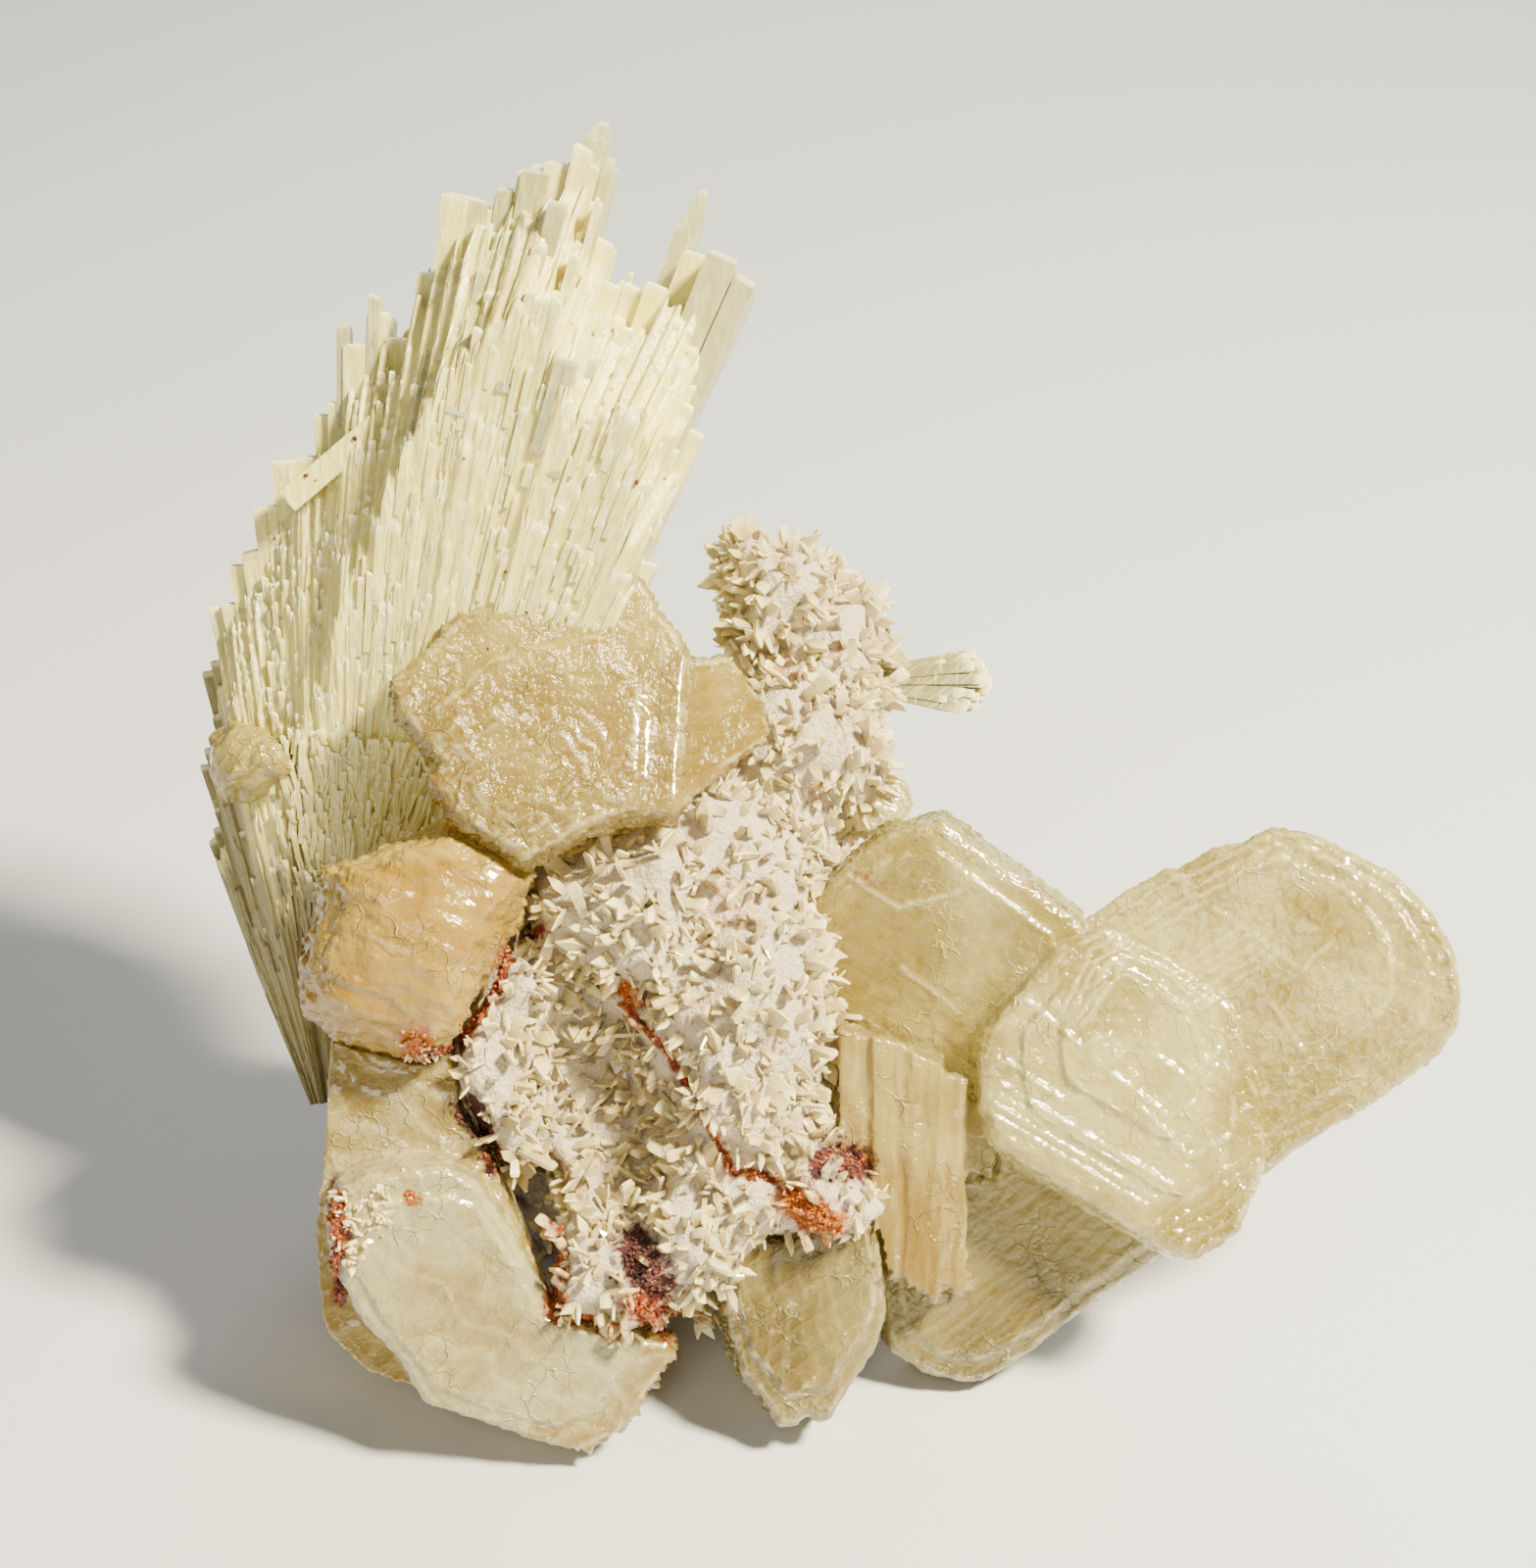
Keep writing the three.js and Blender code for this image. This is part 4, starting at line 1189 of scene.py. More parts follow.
for _ in range(HAIRS):
    across = rolls.choice(
        [rolls.uniform(17.6, 21), rolls.uniform(13.9, 14.8), rolls.uniform(5.5, 8)])
    grow_needle((across, across + 0.22), (0, 0.25),
                (40, head_reach(across) + rolls.uniform(0, 1.6)),
                0.2, 0.2, 0, pointed, rolls.uniform(-0.3, 0.3))
print("needles in all:", len(fan.verts) // len(blunt.vertices))
stand("scolecite_fan", fan, scolecite_white, ["scolecite_spray"], smooth=False)

# %% [markdown]
# Some prisms are clear and not milky: the wide flat-topped one, the pointed tallest ones, a
# grey-green group in the middle of the front, and the single glassy spike at the right. Each is
# given by its angles, its place between the front and the back, its height and its tip.

# %% Clear prisms
CLEAR_PRISMS = [
    # across, place from the front, reach, tone, tip, pattern
    ((8.4, 10.9), (0.36, 0.52), (40, 66.3), 0.25, 0.25, blunt),
    ((11.2, 12.1), (0.36, 0.5), (44, 67.2), 0.4, 0.3, blunt),
    ((12.4, 13.9), (0.34, 0.52), (44, 68.6), 0.3, 0.9, pointed),
    ((15.2, 16.5), (0.36, 0.54), (50, 71.6), 0.35, 1.6, pointed),
    ((16.2, 17.2), (0.36, 0.5), (50, 70.2), 0.2, 0.9, pointed),
    ((14.7, 15.4), (0.36, 0.5), (50, 69.8), 0.3, 0.8, pointed),
    ((14.6, 15.6), (0.16, 0.3), (44, 66.4), 0.9, 0.2, blunt),
    ((23.4, 25.2), (0.26, 0.5), (38, 67.2), 0.15, 0.4, blunt),
    ((25.3, 26.6), (0.26, 0.48), (40, 66.4), 0.25, 0.5, blunt),
    ((4.3, 5), (0.36, 0.48), (40, 59.4), 0.3, 0.3, blunt),
    ((2.3, 3), (0.36, 0.48), (40, 57.4), 0.4, 0.3, blunt),
]
# Greener prisms that lie on the front: limits across and in reach
GREY_PRISMS = [((11.3, 12.6), (52, 61.5)), ((12.7, 13.9), (50, 62.5)), ((14.3, 15.2), (54, 63.5)),
               ((17.6, 19.0), (51, 57)), ((19.0, 20.1), (50, 58)), ((8.8, 9.6), (50, 56))]
fan = bmesh.new()
fan_layers = number_layers(fan, *FAN_NOTES)
for (left, right), (low, high) in GREY_PRISMS:
    shares, whole = rising_shares(left), even_reach(left)
    face, foot = (inward_at(left, front_of(shares, reach / whole)) for reach in (high, low))
    proud = degrees_of(0.55, high)
    grow_needle((left, right), (face - proud, face + 2), (low, high), 0.9, 0.15,
                rolls.uniform(-0.3, 0.3), foot=face - foot)
for across, places, reach, tone, tip, pattern in CLEAR_PRISMS:
    inward = tuple(inward_at(across[0], share) for share in places)
    grow_needle(across, inward, reach, tone, tip, rolls.uniform(-0.2, 0.2), pattern)
# The single spike at the right
grow_needle((20.8, 22.1), (-0.7, 0.7), (44, 69.2), tone=0.6, tip=2.6, slant=0.9,
            pattern=pointed, sway=0.1)
stand("clear_prisms", fan, scolecite_clear, ["scolecite_spray"], smooth=False)

# %% [markdown]
# ## Broken prism and back fan
# One square prism broke off and lies across the fan's left shoulder. Behind the top of the rock
# a second, flat fan of grey-green needles looks out. The prism is a box with bevelled edges on
# the axis of its solid, and the back fan is a finer set of needles than its solid has.


# %% Broken prism
PRISM_ROOT, PRISM_TIP = Vector((-31.6, -3, 18.6)), Vector((-25.6, -3.4, 23.6))
PRISM_WIDTH = 1.65
axis = PRISM_TIP - PRISM_ROOT
prism = bmesh.new()
bmesh.ops.create_cube(prism, size=1, matrix=Matrix.Translation((0, 0, 0.5)))
bmesh.ops.transform(
    prism,
    matrix=Matrix.Translation(PRISM_ROOT) @ aim(axis, 0.2)
    @ Matrix.Diagonal((PRISM_WIDTH, PRISM_WIDTH, axis.length, 1)),
    verts=prism.verts)
bmesh.ops.bevel(prism, geom=prism.edges[:], offset=0.1, segments=2, profile=0.5, material=-1,
                affect="EDGES", clamp_overlap=True)
note(prism, "tone", lambda p: 0.25)
note(prism, "below_tip", lambda p: 3.0)
stand("broken_prism", prism, scolecite_white, ["lodged_prism"], smooth=False)

# %% Back fan
BACK_ROOT = Vector((4.4, 13, 7.4))
BACK_NEEDLES = 190
rolls = random.Random(21)
back = bmesh.new()
back_layers = number_layers(back, "tone", "below_tip")
for _ in range(BACK_NEEDLES):
    degrees = rolls.uniform(-13, 11)
    angle = math.radians(degrees)
    depth = rolls.uniform(-0.8, 0.8)
    reach = rolls.uniform(8.8, 11.6) - abs(degrees + 1) * 0.09
    direction = Vector((math.cos(angle), depth * 0.06, math.sin(angle))).normalized()
    size = rolls.uniform(0.35, 0.75)
    shape = Matrix.Translation(BACK_ROOT + Vector((0, depth, 0))) @ aim(direction, 0)
    tone = rolls.random()
    for v in stamp(back, blunt):
        u, t, w = v.co
        height = reach * min(w, 1) + 0.15 * max(0, w - 1)
        v.co = shape @ Vector((u * size, t * size, height))
        v[back_layers["tone"]] = tone
        v[back_layers["below_tip"]] = reach - height
stand("back_fan", back, scolecite_grey, ["scolecite_back_fan"], smooth=False)

# %% [markdown]
# ## Stilbite blades
# A stilbite crystal is a stack of thin sheets. Its rim is ragged, because each sheet ends at a
# place of its own, and its face rises in low growth steps. Both are real relief here: a copy
# of the solid becomes a dense skin, and every point of it moves a little along its normal. Small
# functions give the heights of ragged sheets, rings, rows, ripples and swellings, and each blade
# mixes them in its own way. Its finish also draws bright lines along the rim, a painted
# highlight, so the distance to the rim is measured on the sharp solid, before it is made dense
# and soft.


# %% Relief functions
def sheets(point, normal, front, depth, size, sheet=0.9):
    """The ragged rim: a different edge for every sheet of the stack."""
    side = clamp(1 - 1.8 * max(0, abs(normal.dot(front)) - 0.25))
    level = math.floor(point.dot(front) / sheet)
    where = Vector((point.x / size, level * 5.3, point.z / size))
    return depth * side * (noise.noise(where) + 0.5 * noise.noise(where * 2.7))


def saw(value):
    """Rises slowly and drops at once, as the edge of a growth layer does."""
    return (value - math.floor(value)) ** 2


def line(layer):
    """1 along the sharp end of a growth layer."""
    return smooth_step(layer, 0.45, 0.85)


def rings(point, centre, spacing, wobble):
    """Growth steps round a centre on the face."""
    bend = noise.noise(Vector((point.x * 0.22, 4.0, point.z * 0.22))) * wobble
    bend += noise.noise(Vector((point.x * 0.7, 9.0, point.z * 0.7))) * wobble * 0.35
    away = math.hypot(point.x - centre[0], point.z - centre[1])
    return saw((away + bend) / spacing)


def bands(point, degrees, spacing, wobble):
    """Growth steps in straight rows."""
    turn = math.radians(degrees)
    along = point.x * math.cos(turn) + point.z * math.sin(turn)
    bend = noise.noise(Vector((point.x * 0.3, 2.0, point.z * 0.3))) * wobble
    return saw((along + bend) / spacing)


def ripple(p, degrees, long, short, seed):
    """Wavy ripples that run across a direction."""
    turn = math.radians(degrees)
    along = p.x * math.cos(turn) + p.z * math.sin(turn)
    aside = p.z * math.cos(turn) - p.x * math.sin(turn)
    return noise.noise(Vector((along / long, aside / short, seed + p.y * 0.2)))


def swell(point, size, amount):
    """Soft swellings without a direction."""
    return amount * noise.noise(point / size)


print("growth steps and ripples are ready")


# %% Faces and rims
def front_way(lean):
    """The way out of a blade's front face, from how far it leans to the right and up."""
    return Vector((lean[0], -1, lean[1])).normalized()


def facing(normal, front):
    """1 on the front face of a blade, 0 on its rim and its back."""
    return clamp(normal.dot(front) * 1.6 - 0.5)


def rim_walls(bm, front):
    """Upright walls through the sharp edges of the front face. The way to them is the way to
    the rim, measured across the face."""
    bm.normal_update()
    walls = bmesh.new()
    for edge in bm.edges:
        in_front = [f.normal.dot(front) > 0.75 for f in edge.link_faces]
        if len(in_front) == 2 and in_front[0] != in_front[1]:
            first, second = (v.co for v in edge.verts)
            along = front * 30
            walls.faces.new([walls.verts.new(p) for p in (
                first - along, second - along, second + along, first + along)])
    tree = BVHTree.FromBMesh(walls)
    walls.free()
    return tree


print("fronts and rims can be told apart")


# %% Dress a blade
def blade(name, node, finish_of, front, relief, milk, voxel, soft=1, lined=True,
          rust_reach=1.0):
    """One dressed crystal: dense skin, relief, and the numbers that its finish reads."""
    solid = solid_copy(node)
    walls = rim_walls(solid, front)
    bm = dense(solid, voxel)
    soften(bm, soft)
    sculpt(bm, relief)
    note_rust(bm, rust_reach)
    note(bm, "milk", milk)
    if lined:
        note(bm, "near_rim", lambda p: max(0.0, RIM_REACH - walls.find_nearest(p)[3]))
    stand(name, bm, finish_of, [node])


print("blades can be dressed")

# %% [markdown]
# **The upper leaf** is the peach blade in front of the fan. Its face is wrinkled by growth
# steps that bend round its lower right, and its left and top edges are thin and chipped.

# %% Upper leaf
LEAF_FRONT = front_way((0.12, 0.32))
LEAF_CENTRE = (-16.6, -4.6)
LEAF_FOLD = [(-12.6, 7), (-10, 6.8), (-5.9, 3.2)]


def leaf_relief(p, n):
    face = facing(n, LEAF_FRONT)
    broad = rings(p, LEAF_CENTRE, 1.5, 2.6)
    patch = 0.6 + 0.9 * noise.noise(Vector((p.x * 0.25, 6.0, p.z * 0.25)))
    ripples = patch * (broad * 0.26 + rings(p, LEAF_CENTRE, 0.8, 1.6) * 0.06)
    calm = lerp(0.05, 1, smooth_step(p.z, 7.5, 3) * smooth_step(p.x, -7, -11))
    crease = 0.08 * smooth_step(off_path(p.x, p.z, LEAF_FOLD), 0.5, 0)
    rim = sheets(p, n, LEAF_FRONT, 0.42, 0.55, 0.5)
    height = rim + face * (ripples * calm - crease - 0.15) + swell(p, 3.0, 0.16)
    return height, 0.3 * face * calm * line(broad)


def leaf_milk(p):
    return 0.4 * smooth_step(p.z, 4, 12) - 0.2


blade("upper_leaf", "stilbite_upper_leaf", stilbite_peach,
      LEAF_FRONT, leaf_relief, leaf_milk, voxel=0.22, soft=6)

# %% [markdown]
# **The left bun** is a swollen sheaf of blades seen from its side. Light runs over it in wet
# looking, wavy streaks, which need real ripples that are low and close. **The knob** further up
# on the left edge is a smaller growth of the same kind.

# %% Left bun and knob
BUN_FRONT = front_way((0.2, 0.1))


def bun_relief(p, n):
    rim = sheets(p, n, BUN_FRONT, 0.35, 0.7, 0.6)
    waves = 0.2 * ripple(p, -24, 2.8, 0.8, 3.0) + 0.09 * ripple(p, -30, 1.2, 0.36, 8.0)
    return rim + waves + swell(p, 4.5, 0.4) + swell(p, 1.0, 0.05) - 0.12, 0


def bun_milk(p):
    return 1.6 * smooth_step(p.z, -5.4, -3.6) * smooth_step(p.x, -17, -20) - 0.2


def knob_relief(p, n):
    return swell(p, 1.4, 0.3) + swell(p, 0.6, 0.12) + 0.2 * ripple(p, 60, 2, 0.5, 1), 0


blade("left_bun", "stilbite_left_bun", stilbite_amber,
      BUN_FRONT, bun_relief, bun_milk, voxel=0.22, soft=10, lined=False, rust_reach=0.9)
blade("left_knob", "stilbite_left_knob", stilbite_peach,
      TOWARDS_VIEWER, knob_relief, lambda p: 0.6, voxel=0.18, soft=5, lined=False)

# %% [markdown]
# **The two front blades** at the bottom are flat and pale. The left one is two crystals: a
# beige one behind, of which a band shows along the left and the bottom, and a greener, clearer
# one in front. Their rims are chipped, and the lower right edge of the left one is shattered.

# %% Front blades
LOW_LEFT_FRONT = front_way((0.16, -0.12))
LOW_LEFT_BACK = {"at": Vector((-22.9, -4.2, -28.4)), "front": front_way((0.05, 0.04))}
MID_FRONT = front_way((0.12, 0.04))


def shatter(p):
    """1 near the shattered lower right edge of the left front blade."""
    return smooth_step(p.x - (p.z + 38) * 0.9, -9.5, -6)


def low_left_relief(p, n):
    rim = sheets(p, n, LOW_LEFT_FRONT, lerp(0.16, 0.7, shatter(p)), 0.6, 0.5)
    face = facing(n, LOW_LEFT_FRONT)
    long_rows = bands(p, 62, 2.3, 2.4)
    steps = long_rows * 0.1 + bands(p, -35, 1.5, 2.5) * 0.05
    height = rim + face * (steps - 0.1) + swell(p, 3.5, 0.08) - 0.06
    return height, 0.5 * face * line(long_rows)


def low_left_milk(p):
    proud = (p - LOW_LEFT_BACK["at"]).dot(LOW_LEFT_BACK["front"])
    return lerp(-0.45, 0.35, smooth_step(proud, 0.2, 1.2)) - 0.3 * shatter(p)


def mid_relief(p, n):
    rim = sheets(p, n, MID_FRONT, 0.45 if p.x < 1 else 0.16, 0.6, 0.5)
    face = facing(n, MID_FRONT)
    rows = bands(p, 8, 1.2, 1.2)
    return rim + face * rows * 0.1 + swell(p, 2.5, 0.15) - 0.05, 0.12 * face * line(rows)


def mid_milk(p):
    return 0.6 * smooth_step(p.x, 1, 6) - 0.3


blade("front_left_blades", "stilbite_front_left", stilbite_pale,
      LOW_LEFT_FRONT, low_left_relief, low_left_milk, voxel=0.22)
blade("front_mid_blade", "stilbite_front_mid", stilbite_honey,
      MID_FRONT, mid_relief, mid_milk, voxel=0.22)

# %% [markdown]
# ** The right twin** is the clearest crystal: three blades grown through one another. The packed
# solid has its main terraces. On them lie the thin, bright edges of single growth layers, with
# the corners of a crystal, and bundles of short parallel ones where the blades meet. They are
# drawn as low ridges along measured paths, and their brightness is painted highlight. Parallel
# bands run along the lower edges, where the ends of the sheets show, and the round end of the
# right blade is crackled.

# %% Painted highlights on the edges of growth layers
TWIN_FRONT = front_way((0, 0.05))
TWIN_EDGES = [
    [(15.6, -18.1), (19.1, -20.6), (20.9, -20.6)],
    [(22.6, -19), (26.1, -21.6), (28, -20.9)],
    [(24.2, -20.9), (27.5, -24.3), (30.5, -23.1)],
    [(17, -14.2), (20.6, -17.2), (22.4, -16.4)],
    [(25.2, -17.6), (27.6, -19.4), (29.6, -17.6)],
    [(30, -8.4), (35.6, -12.4), (37.4, -10.6)],
    [(33.6, -14.6), (35.4, -17.6)],
    [(5.4, -6.2), (8.8, -8.4), (12.8, -7.2)],
    [(9, -12.4), (12.8, -15.4)],
]
# Bundles of short parallel edges: the first one, the step to the next, how many
EDGE_BUNDLES = [
    ([(19, -15.4), (21.2, -11.4)], (0.5, -0.15), 4),
    ([(26.8, -12.8), (31.8, -9.4)], (0.42, -0.55), 5),
    ([(20.8, -10.6), (27.4, -6.4)], (0.4, -0.6), 4),
    ([(27.6, -6.6), (33.6, -3.4)], (0.4, -0.65), 3),
    ([(14.4, -21.4), (24.8, -27.6)], (0.35, 0.55), 4),
]
for (start, end), step, count in EDGE_BUNDLES:
    for i in range(count):
        TWIN_EDGES.append([(start[0] + step[0] * i, start[1] + step[1] * i),
                           (end[0] + step[0] * i * 1.6, end[1] + step[1] * i * 0.8)])
# Left, right, low and high limit of each path, so that far ones are passed over quickly
EDGE_BOXES = [(min(x for x, _ in path) - 0.5, max(x for x, _ in path) + 0.5,
               min(z for _, z in path) - 0.5, max(z for _, z in path) + 0.5)
              for path in TWIN_EDGES]
EDGE_CORE, EDGE_SIDE = 0.06, 0.26


def near_edge(p):
    """1 on the edge of a growth layer, which is raised a little and painted bright as a highlight,
    0 a quarter of a millimetre away from it.
    """
    nearest = 1.0
    bent = 0.18 * noise.noise(p * 0.9)
    for (left, right, low, high), path in zip(EDGE_BOXES, TWIN_EDGES):
        if left < p.x < right and low < p.z < high:
            nearest = min(nearest, off_path(p.x + bent, p.z - bent, path))
    return smooth_step(nearest, EDGE_SIDE, EDGE_CORE)


print("bright edges on the twin:", len(TWIN_EDGES))


# %% Right twin
def twin_relief(p, n):
    face = facing(n, TWIN_FRONT)
    rim = sheets(p, n, TWIN_FRONT, 0.2, 0.7, 0.45)
    low_edge = smooth_step(p.z + (p.x - 14) * 0.62, -21.6, -24)
    right_edge = smooth_step(p.z - (p.x - 33) * 0.66, -21, -24)
    rows = max(low_edge * bands(p, 58, 0.8, 0.5), right_edge * bands(p, 123, 0.8, 0.6))
    crackle = smooth_step(p.x, 33, 37) * (0.5 - abs(noise.noise(p * 0.9))) ** 2 * 0.5
    edge = face * near_edge(p)
    facets = 0.12 * abs(noise.noise(p * 0.5)) + 0.07 * noise.noise(p * 1.8)
    facets += 0.02 * noise.noise(p * 3.6)
    height = rim + face * (rows * 0.16 + crackle + facets - 0.2) + edge * 0.12
    return height, min(1, face * line(rows) * 0.5 + edge)


def twin_milk(p):
    centre = smooth_step(math.hypot(p.x - 23, p.z + 19), 9, 5)
    return 0.25 * centre * (1 - smooth_step(p.z, -12, -9)) - 0.35 * smooth_step(p.x, 14, 9)


blade("right_twin", "stilbite_right_twin", stilbite_clear,
      TWIN_FRONT, twin_relief, twin_milk, voxel=0.19)

# %% [markdown]
# **The lower right blade** shows straight growth rows down to its honey-coloured foot, and **the
# sheaf** in front of it is ribbed from top to bottom and frayed at its lower end. **The glassy
# blade** behind the edge of the ridge is small and nearly plain.

# %% Lower right blade, sheaf and glassy blade
LOW_RIGHT_FRONT = front_way((0.1, -0.04))
SHEAF_FRONT = front_way((0.05, -0.02))


def low_right_relief(p, n):
    face = facing(n, LOW_RIGHT_FRONT)
    rows = bands(p, 126, 0.9, 0.8)
    rim = sheets(p, n, LOW_RIGHT_FRONT, 0.2, 0.6, 0.5)
    return rim + face * (rows * 0.07) + swell(p, 3, 0.12) - 0.1, 0.2 * face * line(rows)


def sheaf_relief(p, n):
    fray = smooth_step(p.z, -30, -33)
    sway = 0.5 * noise.noise(Vector((p.x * 0.4, 8.5, p.z * 0.4)))
    ribs = 0.12 * noise.noise(Vector(((p.x + sway) / 0.6, 1.5, p.z * 0.16)))
    ribs += 0.08 * noise.noise(Vector(((p.x + sway) / 0.3, 5.5, p.z * 0.5)))
    height = ribs + sheets(p, n, SHEAF_FRONT, lerp(0.15, 0.9, fray), 0.5, 0.5)
    return height + swell(p, 2.5, 0.2) - 0.05, clamp(3 * ribs)


def glassy_relief(p, n):
    return swell(p, 0.8, 0.08) + bands(p, 40, 0.6, 0.4) * 0.08, 0


blade("lower_right_blade", "stilbite_right_lower", stilbite_honey,
      LOW_RIGHT_FRONT, low_right_relief, lambda p: 0.5 * smooth_step(p.z, -36, -30), voxel=0.24)
blade("right_sheaf", "stilbite_right_sheaf", stilbite_ribbed,
      SHEAF_FRONT, sheaf_relief, lambda p: 0.3 * smooth_step(p.z, -24, -18), voxel=0.18, soft=9,
      lined=False)
blade("glassy_blade", "small_glassy_blade", stilbite_clear,
      TOWARDS_VIEWER, glassy_relief, lambda p: 0.6, voxel=0.14)

# %% [markdown]
# ## Crumbs of rust
# Where the rust is thick it stands up as crumbs. Each is a small lumpy ball, dropped from the
# front onto whatever surface it meets first near one of the patches. Ten single dark grains lie
# on the fan and on the broken prism.


# %% Drop things from the front
def drop(x, z):
    """The first surface met at a place of the display face: its point and its normal."""
    best = None
    for skin in skins.values():
        point, normal, _, away = skin.ray_cast(Vector((x, -40, z)), Vector((0, 1, 0)))
        if point is not None and (best is None or away < best[2]):
            best = (point, normal, away)
    return best


print("surfaces to drop things on:", len(skins))

# %% Crumb finish
UNSTAINED = (0.85, 0.75, 0.62, 1)
crumb_finish, tree, shader, at = finish("rust_crumbs", {"IOR": 1.5})
grain = add(tree, "TexNoise", {"Vector": at, "Scale": 3.0, "Detail": 4.0}).outputs["Fac"]
rust_over(tree, shader, at, UNSTAINED)
roughen(tree, shader, grain, (0.3, 0.7), (0.35, 0.8))
bump(tree, shader, grain, 0.6, 0.0001)
print("crumb finish is ready")

# %% The crumb pattern
crumb_form = bmesh.new()
bmesh.ops.create_icosphere(crumb_form, subdivisions=1, radius=1)
for v in crumb_form.verts:
    v.co *= 1 + 0.3 * noise.noise(v.co * 1.7)
crumb_mesh = keep_mesh("crumb", crumb_form)
print("a crumb has", len(crumb_mesh.polygons), "faces")

# %% Scatter the crumbs
CRUMBS_FOR_AREA = 26
GRAINS = [
    # x, z, radius
    (-27, 22.6, 0.2), (-27.4, 23.2, 0.14), (-30.2, 20.2, 0.2), (-29.6, 19.9, 0.12),
    (-8.4, 19.4, 0.22), (-17, 13.8, 0.14), (-19.4, 20.8, 0.1), (-33, 16.4, 0.12),
    (-18.2, 8.8, 0.12), (-26, -3.4, 0.14),
]
rolls = random.Random(33)
crumbs = bmesh.new()
crumb_layers = number_layers(crumbs, "stain", "rust")


def add_crumb(x, z, size, amount, depth):
    found = drop(x, z)
    if found is None:
        return
    angle = rolls.uniform(0, math.tau)
    turn = Matrix.Rotation(angle, 4, Vector([rolls.random() for _ in range(3)]))
    shape = Matrix.Translation(found[0] + found[1] * size * 0.4) @ turn @ Matrix.Diagonal(
        (size, size * rolls.uniform(0.6, 1), size * rolls.uniform(0.6, 1), 1))
    for v in stamp(crumbs, crumb_mesh):
        v.co = shape @ v.co
        v[crumb_layers["stain"]] = amount
        v[crumb_layers["rust"]] = depth


for patch in RUST:
    for start, end in zip(patch["path"], patch["path"][1:]):
        stretch = (Vector(end) - Vector(start)).length
        area = (stretch + patch["radius"] * 2) * patch["radius"]
        for _ in range(int(area * CRUMBS_FOR_AREA)):
            share = rolls.random()
            away = abs(rolls.gauss(0, 0.45)) * patch["radius"]
            turn = rolls.uniform(0, math.tau)
            x = lerp(start[0], end[0], share) + away * math.cos(turn)
            z = lerp(start[1], end[1], share) + away * math.sin(turn)
            add_crumb(x, z, rolls.uniform(0.06, 0.2), rolls.uniform(0.85, 1),
                      clamp(patch["depth"] + rolls.gauss(0, 0.16)))
for x, z, size in GRAINS:
    add_crumb(x, z, size, 1.0, 0.75)
print("crumbs:", len(crumbs.verts) // len(crumb_mesh.vertices))
stand("rust_crumbs", crumbs, crumb_finish, smooth=True, keep_skin=False)

# %% [markdown]
# ## Strayed druse
# A few druse crystals also grow on the front blade, round its rust, and on the rims of its
# neighbours. They are copies of the spear pattern, dropped from the front like the crumbs.

# %% Strayed druse
# x, z, how far they are scattered, how many
STRAYED = [(-26.8, -27.2, 0.7, 26), (-25.2, -27.6, 0.8, 26), (-26.6, -29.8, 0.6, 20),
           (-24.2, -26.4, 0.6, 12), (-22.4, -17.4, 0.6, 14), (-13.2, -34.4, 0.5, 18),
           (-9.8, -35.6, 0.6, 18), (-7, -35, 0.5, 14)]
rolls = random.Random(44)
strayed = bmesh.new()
strayed_layers = number_layers(strayed, "stain", "rust")
for x, z, scatter, count in STRAYED:
    for _ in range(count):
        found = drop(x + rolls.gauss(0, scatter), z + rolls.gauss(0, scatter))
        if found is None:
            continue
        wander = Vector([rolls.gauss(0, 0.6) for _ in range(3)])
        direction = (found[1] + wander).normalized()
        length = rolls.uniform(0.4, 1.0)
        width = length * rolls.uniform(0.35, 0.6)
        turn = aim(direction, rolls.uniform(0, math.tau))
        shape = Matrix.Translation(found[0] - direction * 0.15) @ turn @ Matrix.Diagonal(
            (width, width * 0.4, length, 1))
        amount, depth = rust_at(found[0])
        for v in stamp(strayed, spear):
            v.co = shape @ v.co
            v[strayed_layers["stain"]] = amount * 0.4
            v[strayed_layers["rust"]] = depth * 0.6
stand("strayed_druse", strayed, druse_crust, smooth=False, keep_skin=False)

# %% [markdown]
# ## Floor, light and camera
# A pale floor and a soft key light from the upper right. A faint lamp stands where the front
# blades mirror it to the camera and gives them their sheen. A weak fill comes from the left, a
# lamp behind draws the edges, and a dim, even surround opens the shadows. The camera stands where
# the display face is seen straight on.

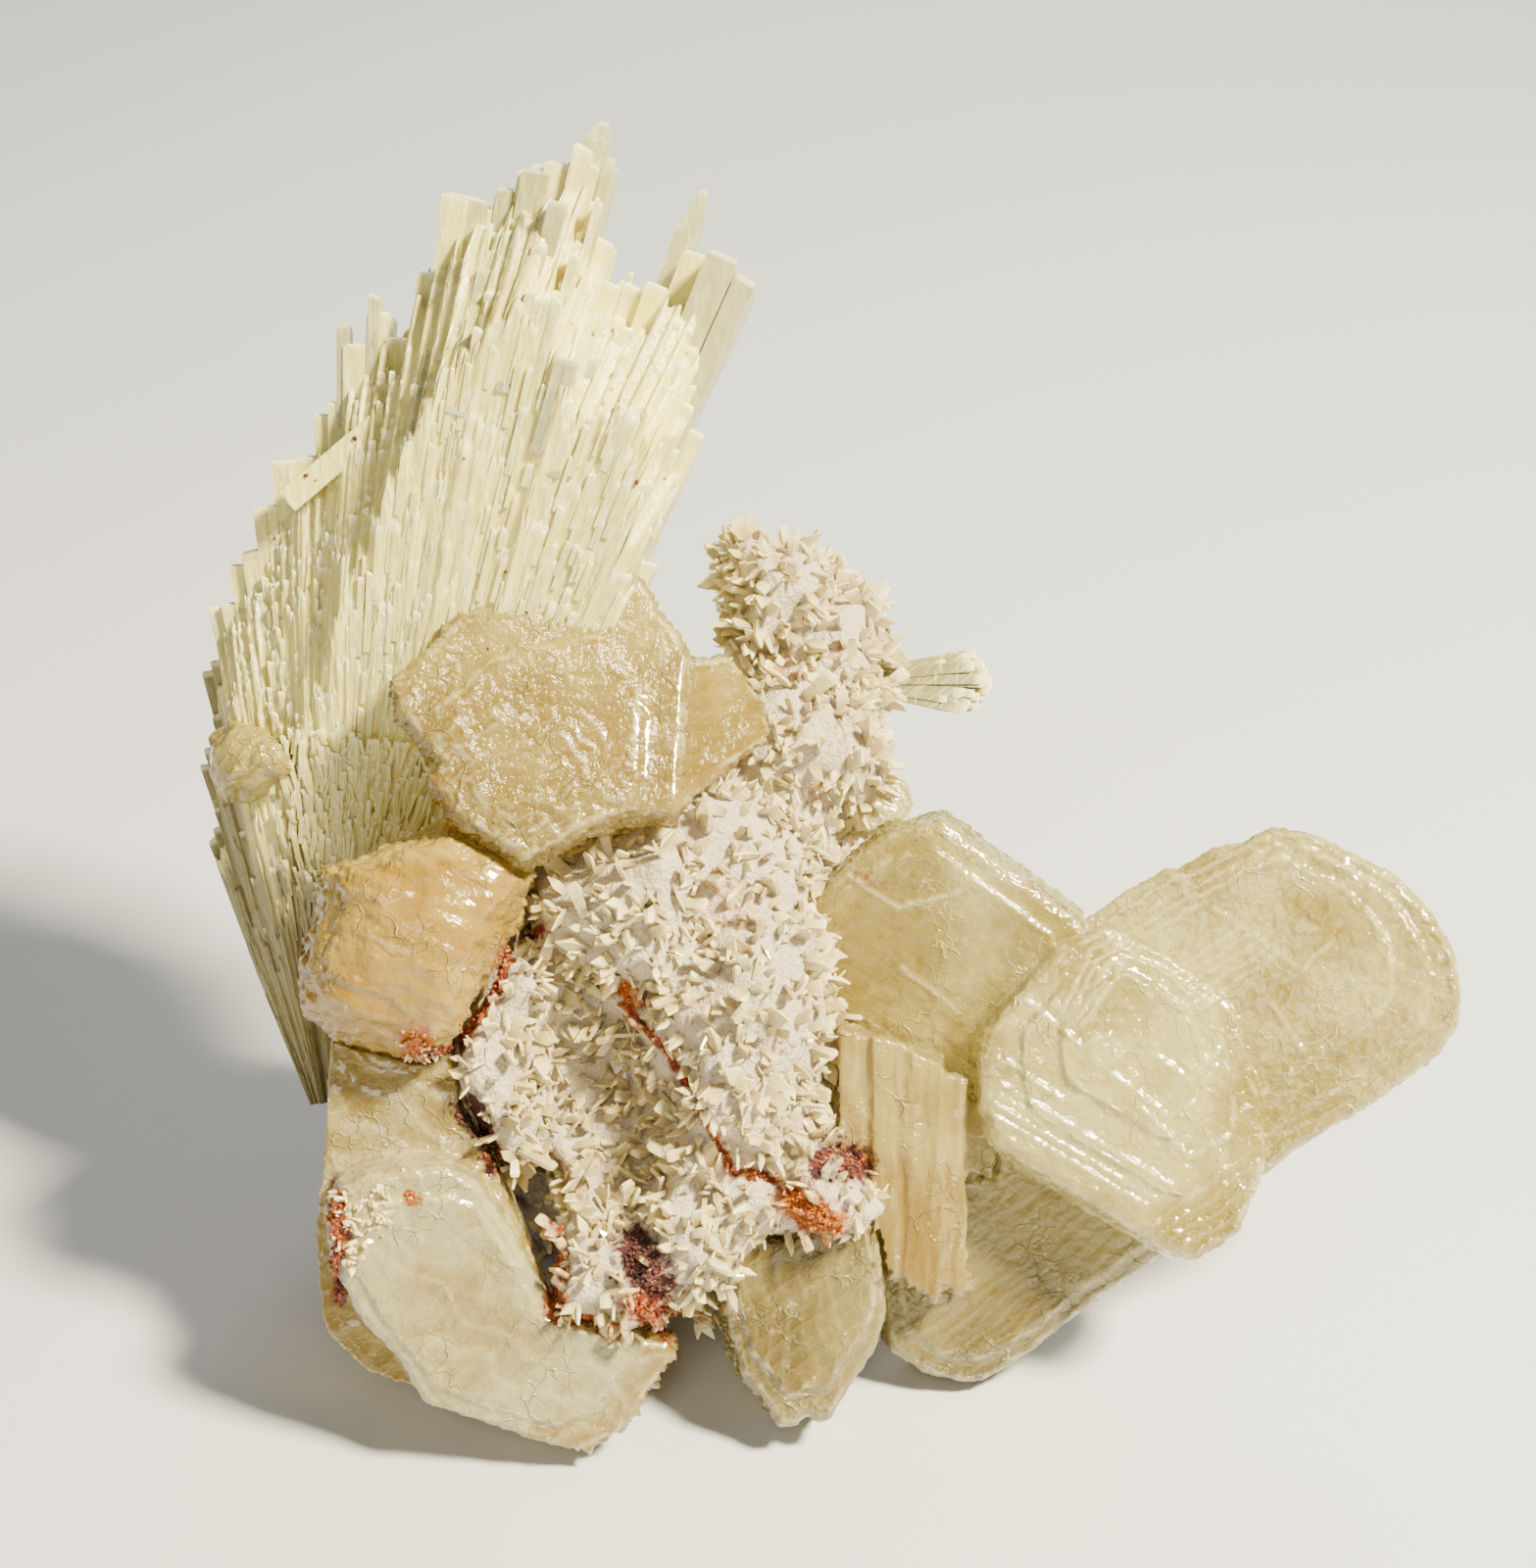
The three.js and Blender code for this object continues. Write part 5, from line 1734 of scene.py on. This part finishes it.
# %% Floor
FLOOR_REACH = 3
floor_form = bmesh.new()
bmesh.ops.create_grid(floor_form, x_segments=1, y_segments=1, size=FLOOR_REACH)
floor_mesh = keep_mesh("floor", floor_form)
floor = put("floor", floor_mesh)
floor_finish = bpy.data.materials.new("floor_paper")
floor_finish.use_nodes = True
paper = floor_finish.node_tree.nodes["Principled BSDF"].inputs
paper["Base Color"].default_value = (0.68, 0.71, 0.8, 1)
paper["Roughness"].default_value = 0.85
floor_mesh.materials.append(floor_finish)
print("floor:", FLOOR_REACH * 2, "metres wide")

# %% Light
MIDDLE = FACE @ Vector((0, 2, -2))


def lamp(name, place_at, size, power, colour):
    """A square lamp that looks at the middle of the specimen, in metres and watts."""
    light = bpy.data.lights.new(name, "AREA")
    light.size = size
    light.energy = power
    light.color = colour
    made = put(name, light)
    made.location = place_at
    made.rotation_euler = (MIDDLE - Vector(place_at)).to_track_quat("-Z", "Y").to_euler()


lamp("key", (0.28, -0.15, 0.41), 0.08, 12.5, (1.0, 0.89, 0.57))
lamp("sheen", (-0.045, -0.357, 0.317), 0.12, 0.4, (1.0, 0.94, 0.76))
lamp("fill", (-0.42, -0.3, 0.24), 0.4, 0.28, (1.0, 0.96, 0.85))
lamp("back", (0.05, 0.45, 0.3), 0.3, 1.4, (1.0, 0.96, 0.86))
world = bpy.data.worlds.new("surround")
world.use_nodes = True
surround = world.node_tree.nodes["Background"].inputs
surround["Color"].default_value = (1.0, 0.95, 0.8, 1)
surround["Strength"].default_value = 0.12
bpy.context.scene.world = world
print("lamps:", len(bpy.data.lights))

# %% Camera
EYE_DISTANCE = 190
LENS, SENSOR = 65.25, 36
target = FACE_PLACE * MILLIMETRE
eye = target + Vector((0, -math.cos(LEAN), math.sin(LEAN))) * EYE_DISTANCE * MILLIMETRE
camera_data = bpy.data.cameras.new("camera")
camera_data.lens = LENS
camera_data.sensor_width = SENSOR
camera_data.clip_start = 0.01
camera = put("camera", camera_data)
camera.location = eye
camera.rotation_euler = (target - eye).to_track_quat("-Z", "Y").to_euler()
bpy.context.scene.camera = camera
print("camera at", tuple(round(c, 4) for c in eye))
